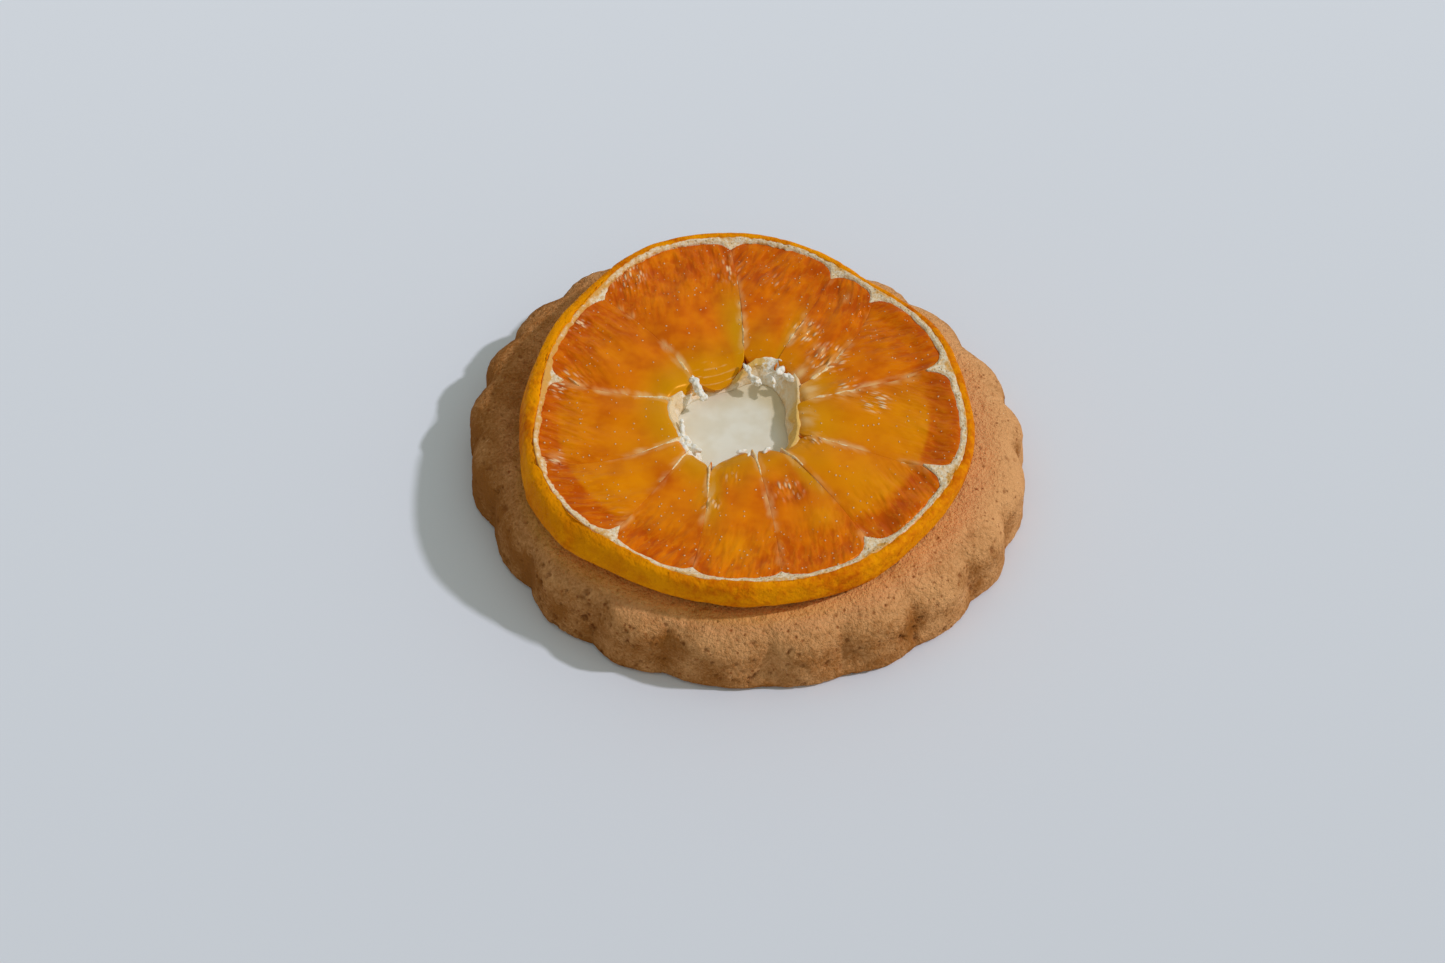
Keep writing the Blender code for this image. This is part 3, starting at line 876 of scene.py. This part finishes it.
def peel_profile(azimuth):
    """Knots of the peel's outside from its foot to its lip: reach and height, each for every azimuth."""
    bulge = round_table(azimuth, PEEL_BULGE)
    foot = 1.9 * swell(azimuth, 205, 30) - 0.1
    lip = round_table(azimuth, PITH_OUTER)
    reach = [foot - 0.5, foot, 0.55 * foot + 0.45 * bulge + 0.05, bulge, 0.5 * bulge + 0.45]
    reach += [0.25 * bulge + 0.5, 0.3 + 0.5 * lip, lip]
    height = [PEEL_BOTTOM, PEEL_BOTTOM + 0.12, PEEL_BOTTOM + 0.8, RIM_TOP - 2.5, RIM_TOP - 1.0]
    height += [RIM_TOP - 0.3, RIM_TOP + 0.02, RIM_TOP + 0.02]
    return np.stack(reach), np.array(height)


def smooth_through(knots, count):
    """Values between knots along the first axis, by the cubic that matches the mean slope at each knot."""
    slope = np.gradient(knots, axis=0)
    place = np.linspace(0, len(knots) - 1, count)
    before = np.minimum(place.astype(int), len(knots) - 2)
    part = (place - before).reshape(-1, *([1] * (knots.ndim - 1)))
    a, b = knots[before], knots[before + 1]
    p, q = slope[before], slope[before + 1]
    cube = 2 * part**3 - 3 * part**2
    return a * (1 + cube) - b * cube + p * (part**3 - 2 * part**2 + part) + q * (part**3 - part**2)


def build_peel(material):
    """The peel as a thin closed ring: a smooth curve through its outside knots, then back down inside.

    Slow noise makes it uneven, and scattered dimples stand for oil pores.
    """
    azimuth = np.linspace(0, 2 * np.pi, PEEL_COLUMNS, endpoint=False)
    reach, height = peel_profile(azimuth)
    tags = raised(rim_point(azimuth, 0.0), 0.0)
    torn = 0.20 * noise(tags, 1.3, 35) + 0.12 * noise(tags, 0.5, 36)
    reach[-1] = reach[-1] + torn
    reach[-2] = reach[-2] + 0.5 * torn
    reach = smooth_through(reach, 56)
    height = smooth_through(height, 56)
    flat = rim_point(azimuth, reach)
    outside = raised(flat, height[:, None] + tilt(flat))
    rows = [outside]
    for inner, level in ((0.0, RIM_TOP - 0.25), (-0.3, RIM_TOP - 1.5), (-0.5, PEEL_BOTTOM + 0.9)):
        flat = rim_point(azimuth, np.minimum(reach[-1] + inner, reach[0] + 0.3))
        rows.append(raised(flat, level + tilt(flat))[None])
    grid = np.concatenate(rows)
    normal = normals_of(grid)
    relief = 0.12 * noise(grid, 4.5, 31) + 0.07 * noise(grid, 1.8, 32) + 0.03 * noise(grid, 0.8, 37)
    away, luck = spots(grid, 0.85, 33)
    relief = relief - 0.045 * ease(0.45 - away, 0.0, 0.3) * ease(luck, 0.2, 0.6)
    relief[len(outside):] = 0.0
    grid = grid + normal * relief[..., None]
    grid[..., 2] = np.minimum(grid[..., 2], SLICE_CEILING)
    deep = 0.1 * np.cos(azimuth - np.radians(300)) + 0.35 * noise(grid, 5.0, 34)
    yellowed = 0.8 * swell(azimuth, 222, 30) * ease(-noise(grid, 4.0, 38), -0.8, 0.4) + 0.0 * grid[..., 2]
    marks = [{"deep": deep, "yellowed": yellowed}]
    return add_piece("citrus_peel", [grid], material, "citrus_slice", ring=True, marks=marks)


def pith_inner_reach(azimuth):
    """How far outside the rim's outline the pith ends, with a wedge inwards at each membrane."""
    width = -round_table(azimuth, PITH_INNER)
    for rim, _, _, reach, half_width in MEMBRANES:
        away = np.abs(turned_from(azimuth, rim)) / half_width
        width = width + reach * np.exp(-(away ** 1.3) * 1.2)
    return -width


def build_pith(material):
    """The pale ring between peel and flesh: a rough spongy band that slopes down to the flesh.

    Its inner edge is ragged, and its outer edge lies under the peel's lip.
    """
    azimuth = np.linspace(0, 2 * np.pi, PITH_COLUMNS, endpoint=False)
    tags = raised(rim_point(azimuth, 0.0), 0.0)
    outer = round_table(azimuth, PITH_OUTER) + 0.6
    inner = pith_inner_reach(azimuth) + 0.14 * noise(tags, 0.9, 41) + 0.10 * noise(tags, 0.4, 42)
    inner = np.minimum(inner, outer - 0.6)
    part = np.linspace(0, 1, 26)[:, None]
    reach = outer + (inner - outer) * part
    flat = rim_point(azimuth, reach)
    sunny = swell(azimuth, 0, 60)
    fall = ease(-reach, 0.0, 1.3) * (0.55 - 0.5 * sunny)
    tucked = ease(reach - round_table(azimuth, PITH_OUTER), -0.05, 0.3)
    level = RIM_TOP - 0.02 + 0.12 * sunny - fall - 0.12 * ease(part, 0.8, 1.0) - 0.6 * tucked
    top = raised(flat, level + tilt(flat))
    relief = 0.08 * noise(top, 0.8, 43) + 0.06 * noise(top, 0.4, 44)
    top[..., 2] += relief * np.sin(np.pi * np.clip(part, 0.2, 1.0)) * (1 - tucked)
    rows = [top]
    for edge, height in ((inner, FLESH_TOP - 0.6), (outer, FLESH_TOP - 0.6)):
        flat = rim_point(azimuth, edge)
        rows.append(raised(flat, height + tilt(flat))[None])
    grid = np.concatenate(rows)
    grid[..., 2] = np.minimum(grid[..., 2], SLICE_CEILING)
    part = np.concatenate([part, [[1.0], [0.0]]])
    reach = np.concatenate([reach, inner[None], outer[None]])
    stained = 0.5 * (1 - ease(part, 0.3, 0.75)) - 0.8 * ease(-reach, 0.8, 1.5)
    stained = stained + 0.65 * swell(azimuth, 168, 45) + 0.25 * ease(part, 0.9, 1.0)
    marks = [{"stained": stained}]
    return add_piece("pith_ring", [grid], material, "citrus_slice", ring=True, marks=marks)


def pale_stretches(index, share):
    """How pale a membrane is along its length, and how wide."""
    pale = np.zeros_like(share)
    width = np.full_like(share, 0.22)
    for start, end, strength, wide in PALE_STRETCHES[index]:
        inside = ease(share, start - 0.04, start + 0.04) * (1 - ease(share, end - 0.06, end + 0.06))
        inside = np.maximum(inside, (share < 0.04) * (start == 0.0))
        pale = np.maximum(pale, strength * inside)
        width = np.maximum(width, 0.22 + (wide - 0.22) * inside)
    return pale, width


def quarter_ellipse(part):
    """The height of a quarter ellipse: it rises steeply from 0 and levels off at 1."""
    return np.sqrt(1.0 - (1.0 - np.clip(part, 0.02, 1.0)) ** 2)


def segment_layout(index):
    """Where one segment's points lie, seen from above, and how far along and across it each of them is.

    Each row is a loop over the cut face and back below it, a little wider than
    the segment so that neighbours overlap. The rows run from the tip, which
    narrows and thins as a quarter ellipse, to the rim end under the pith.
    """
    first = MEMBRANES[index]
    following = (index + 1) % len(MEMBRANES)
    last = MEMBRANES[following]
    turn = 360 if following == 0 else 0
    setback, tip, _ = TIPS[index]
    over = np.linspace(1.012, -0.012, FACE_COLUMNS)
    under = [0.0, 0.0, 0.1, 0.5, 0.9, 1.0, 1.0]
    loop = np.concatenate([over, under])[None, :]
    start = setback / SEGMENT_LENGTH
    tip_rows = np.linspace(0, 0.1, 18)[:-1] ** 1.5 / 0.1 ** 0.5
    beyond_tip = np.concatenate([tip_rows, np.linspace(0.1, 1.09 - start, 98)])[:, None]
    across = 0.5 + (loop - 0.5) * quarter_ellipse(beyond_tip / tip)
    share = start + beyond_tip + 0.0 * across
    rim = np.radians(first[0] + (last[0] + turn - first[0]) * across)
    core = np.radians(first[1] + (last[1] + turn - first[1]) * across)
    flat = across_slice(rim, core, first[2] + (last[2] - first[2]) * across, share)
    sideways = np.linalg.norm(flat - membrane_line(index, share), axis=-1)
    other_way = np.linalg.norm(flat - membrane_line(following, share), axis=-1)
    reach = np.linalg.norm(flat - core_point(core), axis=-1)
    flow = np.stack([sideways, reach, np.full_like(reach, 7.3 * index)], axis=-1)
    wet = patches(flat, WET_PATCHES)
    return SimpleNamespace(
        flat=flat, share=share, across=across, beyond_tip=beyond_tip,
        sideways=sideways, other_way=other_way, flow=flow,
        depth=np.concatenate([np.zeros(FACE_COLUMNS), [0.35, 0.8, 1.0, 1.0, 1.0, 0.8, 0.35]]),
        thin=quarter_ellipse(beyond_tip / 0.07),
        middle=np.sin(np.pi * np.clip(loop, 0.0, 1.0)) + 0.0 * share,
        edge=(loop > 1.0) | (loop < 0.0),
        creases=np.sin(reach * 9.0 + 2.0 * noise(flow, 1.5, 57)),
        wet=wet, streaky=np.maximum(ease(share, 0.45, 0.9), wet),
    )


def segment_thinness(index, at):
    """How thin the dried flesh is at its tip, and how thin along its two flanks."""
    tip_straw, first_straw, last_straw = SEGMENTS[index][2:]
    tip_thin = tip_straw * (1 - ease(at.beyond_tip, 0.05, 0.42)) + 0.0 * at.across
    first_thin = first_straw * (1 - ease(at.across, 0.05, 0.38)) * (1 - ease(at.share, 0.35, 0.85))
    last_thin = last_straw * (1 - ease(1 - at.across, 0.05, 0.4)) * (1 - ease(at.share, 0.3, 0.7))
    return tip_thin, np.maximum(first_thin, last_thin)


def segment_top(index, at, tip_thin, flank_thin):
    """Height of a segment's cut face: its level, less where it is thin, with lumps and wrinkles.

    Three sizes of noise are drawn out along the flow, wet clusters bulge as
    juice sacs, and the tip sinks towards the chocolate in small folds. The
    rim end dips under the pith, and rises to it at the right.
    """
    flow = at.flow
    sink = TIPS[index][2]
    calm = at.middle ** 0.8
    top = flesh_level(np.clip(at.share, 0, 1), at.middle) + 0.06 * at.middle - 0.12 * at.edge
    top = top - 0.12 * flank_thin - 0.2 * tip_thin - sink * (1 - ease(at.beyond_tip, 0.0, 0.16))
    top = top + 0.30 * calm * noise(flow / (2.6, 6.0, 1.0), 1.0, 51)
    top = top + 0.10 * at.streaky * calm * noise(flow / (0.9, 2.0, 1.0), 1.0, 52)
    top = top + 0.03 * at.streaky * calm * noise(flow / (0.35, 0.7, 1.0), 1.0, 53)
    away, _ = spots(flow / (0.8, 1.6, 1.0), 1.0, 54)
    top = top + 0.3 * at.wet * (0.45 - away ** 1.5)
    fold = at.creases * sink * (1 - ease(at.beyond_tip, 0.02, 0.14))
    top = top + 0.02 * fold * calm
    angle, radius = seen_from(at.flat, SLICE_CENTRE)
    covered = radius - waves(angle, RIM_RADIUS, RIM_WAVES) - pith_inner_reach(angle)
    top = np.minimum(top, FLESH_TOP + 0.55 - 0.3 * ease(covered, -0.8, 0.0)) - 0.45 * ease(covered, 0.0, 0.5)
    return top + 0.5 * swell(angle, 0, 75) * ease(covered, -3.0, -0.4) * (1 - ease(covered, 0.0, 0.5))


def film_and_sheen_on_flesh(index, at):
    """How far pale film covers the flesh, in places as painted sheen: in patches, beside pale membranes and
    on a sunken tip.
    """
    following = (index + 1) % len(MEMBRANES)
    film_and_sheen = patches(at.flat, FILM_AND_SHEEN_PATCHES) * (0.7 + 0.5 * noise(at.flow / (0.7, 1.5, 1.0), 1.0, 56))
    skirt = np.maximum(pale_stretches(index, at.share)[0] * (1 - ease(at.sideways, 0.1, 1.2)),
                       pale_stretches(following, at.share)[0] * (1 - ease(at.other_way, 0.1, 1.2)))
    film_and_sheen = np.maximum(film_and_sheen, 0.65 * skirt * (0.8 + 0.5 * noise(at.flow, 1.1, 58)))
    folds = ease(at.creases, 0.6, 1.0) * (1 - ease(at.beyond_tip, 0.08, 0.18))
    return np.maximum(film_and_sheen, 0.4 * TIPS[index][2] * folds)


def segment_marks(index, at, grid, tip_thin, flank_thin):
    """The marks that the flesh's colour reads: its flow, its rust with painted shade, its painted glow over
    the chocolate, and so on.
    """
    rust, glow_share = SEGMENTS[index][:2]
    bearing, distance = seen_from(at.flat, GLOW_CENTRE)
    blurred = 2.0 - 1.75 * np.maximum(swell(bearing, -15, 32), swell(bearing, 208, 38))
    beyond = ease((distance - waves(bearing, GLOW_RADIUS, GLOW_WAVES)) / blurred, -1.0, 1.0)
    blotch = 0.5 + 0.5 * noise(grid, 2.8, 55)
    # Rust near the rim, with painted shade where the flesh lies off the chocolate and along the segment's
    # edges.
    rust_and_shade = rust * (0.45 * ease(at.share, 0.55, 1.0) * (0.3 + blotch) + 0.2 * beyond * glow_share)
    rust_and_shade = np.maximum(rust_and_shade, patches(at.flat, RUST_PATCHES) * (0.6 + 0.5 * blotch))
    rust_and_shade = rust_and_shade + 0.2 * (1 - at.middle) ** 3 * (1 - tip_thin) * (1 - flank_thin)
    # Painted glow of light shone back through the flesh over the chocolate.
    chocolate_glow = glow_share * (1 - beyond) * (0.45 + 0.4 * at.middle + 0.25 * blotch)
    chocolate_glow = chocolate_glow * (1 - patches(at.flat, AMBER_PATCHES))
    chocolate_glow = np.maximum(chocolate_glow, patches(at.flat, GLOW_PATCHES))
    strawy = np.maximum(tip_thin, flank_thin)
    marks = {"flow": at.flow * MM, "rust_and_shade": rust_and_shade, "chocolate_glow": chocolate_glow, "strawy": strawy}
    return {**marks, "film_and_sheen": film_and_sheen_on_flesh(index, at), "wet": at.wet, "streaky": at.streaky}


def segment_grid(index):
    """One segment as a closed loft between its cut face and its bottom, and the marks of its points."""
    at = segment_layout(index)
    tip_thin, flank_thin = segment_thinness(index, at)
    top = segment_top(index, at, tip_thin, flank_thin)
    middle = (top + SEGMENT_BOTTOM) / 2
    half = (top - SEGMENT_BOTTOM) / 2 * at.thin
    grid = raised(at.flat, middle + half * (1 - 2 * at.depth) + tilt(at.flat))
    return grid, segment_marks(index, at, grid, tip_thin, flank_thin)


def build_segments(material):
    """Twelve flesh segments between the membranes."""
    for index in range(len(MEMBRANES)):
        grid, marks = segment_grid(index)
        name = f"flesh_segment_{index + 1:02d}"
        add_piece(name, [grid], material, "citrus_slice", marks=[marks])


def membrane_grid(index):
    """One membrane as a thin upright ribbon along its bowed line.

    The cross-section is a flattened oval. Its width follows the pale
    stretches, and its crest lies about level with the flesh there and just
    under it elsewhere. At the core the crest sinks with the tips beside it.
    """
    setback = 0.1 + max(0.0, TIPS[index][0], TIPS[index - 1][0])
    start = setback / SEGMENT_LENGTH
    share = np.linspace(start, 1.02, 150)
    pale, width = pale_stretches(index, share)
    line = membrane_line(index, share)
    along = np.gradient(line, axis=0)
    along = along / np.linalg.norm(along, axis=-1, keepdims=True)
    sideways = np.stack([-along[:, 1], along[:, 0]], axis=-1)
    tags = raised(line, float(index))
    wander = 0.12 * noise(tags, 2.0, 61) + 0.05 * noise(tags, 0.7, 62)
    width = width * (1 + 0.4 * noise(tags, 0.8, 63) + 0.3 * noise(tags, 2.3, 65))
    crest = flesh_level(share, 0.0) - 0.28 + 0.08 * noise(tags, 1.1, 64) + 0.24 * np.minimum(1.0, 1.6 * pale)
    sink = max(TIPS[index][2], TIPS[index - 1][2])
    crest = crest - 0.8 * sink * (1 - ease(share, start, start + 0.14))
    turn = np.linspace(0, 2 * np.pi, 14, endpoint=False)
    aside = wander[:, None] + 0.5 * width[:, None] * np.cos(turn)
    flat = line[:, None] + sideways[:, None] * aside[..., None]
    low = SLICE_BOTTOM + 0.2
    middle = (crest + low)[:, None] / 2
    half = (crest - low)[:, None] / 2
    lift = np.sign(np.sin(turn)) * np.abs(np.sin(turn)) ** 0.5
    grid = raised(flat, middle + half * lift + tilt(flat))
    return grid, {"pale": np.repeat(pale[:, None], len(turn), axis=1)}


def build_membranes(material):
    """Twelve membranes in one piece."""
    made = [membrane_grid(index) for index in range(len(MEMBRANES))]
    grids = [grid for grid, _ in made]
    marks = [mark for _, mark in made]
    add_piece("membranes", grids, material, "citrus_slice", marks=marks)


def build_core_lining(material):
    """The torn skin round the open core, from under the flesh down to a foot on the chocolate.

    The face swells between edge and foot in noise of two sizes, and the back
    returns a little further out. Rows run from the back to the foot.
    """
    azimuth = np.linspace(0, 2 * np.pi, LINING_COLUMNS, endpoint=False)
    edge, top, foot, yellow = (round_table(azimuth, column) for column in zip(*LINING))
    tags = raised(core_point(azimuth), 0.0)
    top = top + 0.2 * noise(tags, 1.2, 72) + 0.15 * noise(tags, 0.45, 73)
    top = np.clip(top, SLICE_BOTTOM + 0.1, FLESH_TOP)
    low = CHOCOLATE_TOP + 0.02
    part = np.linspace(0, 1, 34)[:, None]
    reach = foot + (edge - foot) * part ** 1.4
    unfolded = raised(core_point(azimuth, reach), 3.0 * part)
    folds = 0.4 * noise(unfolded, 1.3, 74) + 0.15 * noise(unfolded, 0.5, 75)
    folds = folds * np.sin(np.pi * part)
    flat = core_point(azimuth, reach + folds)
    rows = [raised(flat, low + (top - low) * part ** 0.8 + 0.3 * folds + tilt(flat))]
    back = ((0.3, 0.93), (1.1, 0.72), (2.0, 0.5), (2.0, 0.02))
    for out, share in back:
        flat = core_point(azimuth, edge + out)
        rows.append(raised(flat, low + (top - low) * share + tilt(flat))[None])
    grid = np.concatenate(rows)[::-1]
    spongy = np.zeros_like(azimuth)
    for centre, half_width, strength in SPONGY:
        spongy = np.maximum(spongy, strength * swell(azimuth, centre, half_width))
    up = np.concatenate([part, np.ones((len(back), 1))])[::-1]
    marks = [{"spongy": spongy + 0.0 * up, "strawy": ease(up, 0.1, 0.9) * (0.3 + yellow)}]
    add_piece("core_lining", [grid], material, "citrus_slice", ring=True, marks=marks)


def build_tufts(material):
    """Torn tufts of pith round the core: balls stretched to size, made lumpy by noise, and turned."""
    turn = np.linspace(0, 2 * np.pi, 80, endpoint=False)[None, :]
    rise = np.linspace(-1.45, 1.45, 44)[:, None]
    ball = raised(around(turn, np.cos(rise)), np.sin(rise))
    grids = []
    marks = []
    for i, (x, y, z, long, wide, tall, pointing) in enumerate(PITH_TUFTS):
        shape = ball * (long, wide, tall)
        lump = 1.0 + 0.5 * noise(shape + 3.0 * i, 0.8, 81) + 0.45 * noise(shape + 3.0 * i, 0.35, 82)
        shape = shape * lump[..., None]
        cosine = np.cos(np.radians(pointing))
        sine = np.sin(np.radians(pointing))
        across = shape[..., 0] * sine + shape[..., 1] * cosine
        along = shape[..., 0] * cosine - shape[..., 1] * sine
        grid = np.array([x, y, z]) + np.stack([along, across, shape[..., 2]], axis=-1)
        grid[..., 2] = np.minimum(grid[..., 2], SLICE_CEILING - 0.4)
        grids.append(grid)
        spongy = 1.0 - 0.5 * ease(noise(grid, 0.8, 83), 0.2, 0.8)
        marks.append({"spongy": spongy, "strawy": np.zeros_like(spongy)})
    add_piece("pith_tufts", grids, material, "citrus_slice", marks=marks)


# Room


def add_floor():
    """A large pale sheet under the object, with painted light making it a little lighter towards the back.
    """
    mesh = bpy.data.meshes.new("floor")
    mesh.from_pydata([(-3, -3, 0), (3, -3, 0), (3, 3, 0), (-3, 3, 0)], [], [(0, 1, 2, 3)])
    material, tree = new_material("pale floor", 0.8, 0.1)
    across = add_node(tree, "ShaderNodeSeparateXYZ", {"Vector": object_place(tree)}).outputs["Y"]
    reach = {"Value": across, "From Min": -0.08, "From Max": 0.12}
    # Painted light: the floor is lighter towards the back.
    back = add_node(tree, "ShaderNodeMapRange", reach).outputs["Result"]
    colour = mixed(tree, back, rgba(0.74, 0.75, 0.755), rgba(0.84, 0.85, 0.855))
    mesh.materials.append(finished(material, colour))
    floor = bpy.data.objects.new("floor", mesh)
    bpy.context.scene.collection.objects.link(floor)


def aimed(direction):
    """The turn that points a lamp or camera along a direction."""
    return Vector(direction).to_track_quat("-Z", "Y").to_euler()


def light_room(key_azimuth=0.0, key_height=43.0):
    """One key light from the right, and a soft fill that is stronger from above and from the right."""
    turn = np.radians(key_azimuth)
    rise = np.radians(key_height)
    key = bpy.data.lights.new("key", "SUN")
    key.energy = 1.8
    key.color = (0.84, 0.85, 1.0)
    key.angle = np.radians(3.0)
    lamp = bpy.data.objects.new("key", key)
    lamp.rotation_euler = aimed((-np.cos(turn) * np.cos(rise), -np.sin(turn) * np.cos(rise), -np.sin(rise)))
    bpy.context.scene.collection.objects.link(lamp)
    world = bpy.data.worlds.new("soft fill")
    world.use_nodes = True
    tree = world.node_tree
    sky = tree.nodes["Background"]
    sky.inputs["Color"].default_value = rgba(0.92, 1.0, 0.99)
    toward = add_node(tree, "ShaderNodeTexCoord").outputs["Generated"]
    part = add_node(tree, "ShaderNodeSeparateXYZ", {"Vector": toward}).outputs
    overhead = figured(tree, "MULTIPLY_ADD", part["Z"], 0.26, 0.27)
    strength = figured(tree, "MULTIPLY_ADD", part["X"], 0.08, overhead)
    tree.links.new(strength, sky.inputs["Strength"])
    bpy.context.scene.world = world


def add_camera(height=49.0, distance=240.0, focal=2061.0, width=1445, middle=(744.0, 470.0), tall=963):
    """A camera in front, height degrees up, aimed at the cutter's centre, which shows at middle."""
    rise = np.radians(height)
    back = np.array([0.0, -np.cos(rise), np.sin(rise)])
    camera = bpy.data.cameras.new("camera")
    camera.sensor_width = 36.0
    camera.lens = 36.0 * focal / width
    camera.shift_x = -(middle[0] - width / 2) / width
    camera.shift_y = (middle[1] - tall / 2) / width
    holder = bpy.data.objects.new("camera", camera)
    holder.location = (back * distance - BOX_MIDDLE) * MM
    holder.rotation_euler = aimed(-back)
    bpy.context.scene.collection.objects.link(holder)
    bpy.context.scene.camera = holder


pore_group = make_pores_group()
build_cookie(crust_material(pore_group))
build_chocolate(chocolate_material())
build_peel(peel_material(pore_group))
build_pith(pith_material(pore_group))
build_segments(flesh_material(pore_group))
build_membranes(membrane_material())
core_skin = lining_material(pore_group)
build_core_lining(core_skin)
build_tufts(core_skin)
add_floor()
light_room()
add_camera()
bpy.context.scene.view_settings.view_transform = "Standard"

bpy.context.view_layer.update()
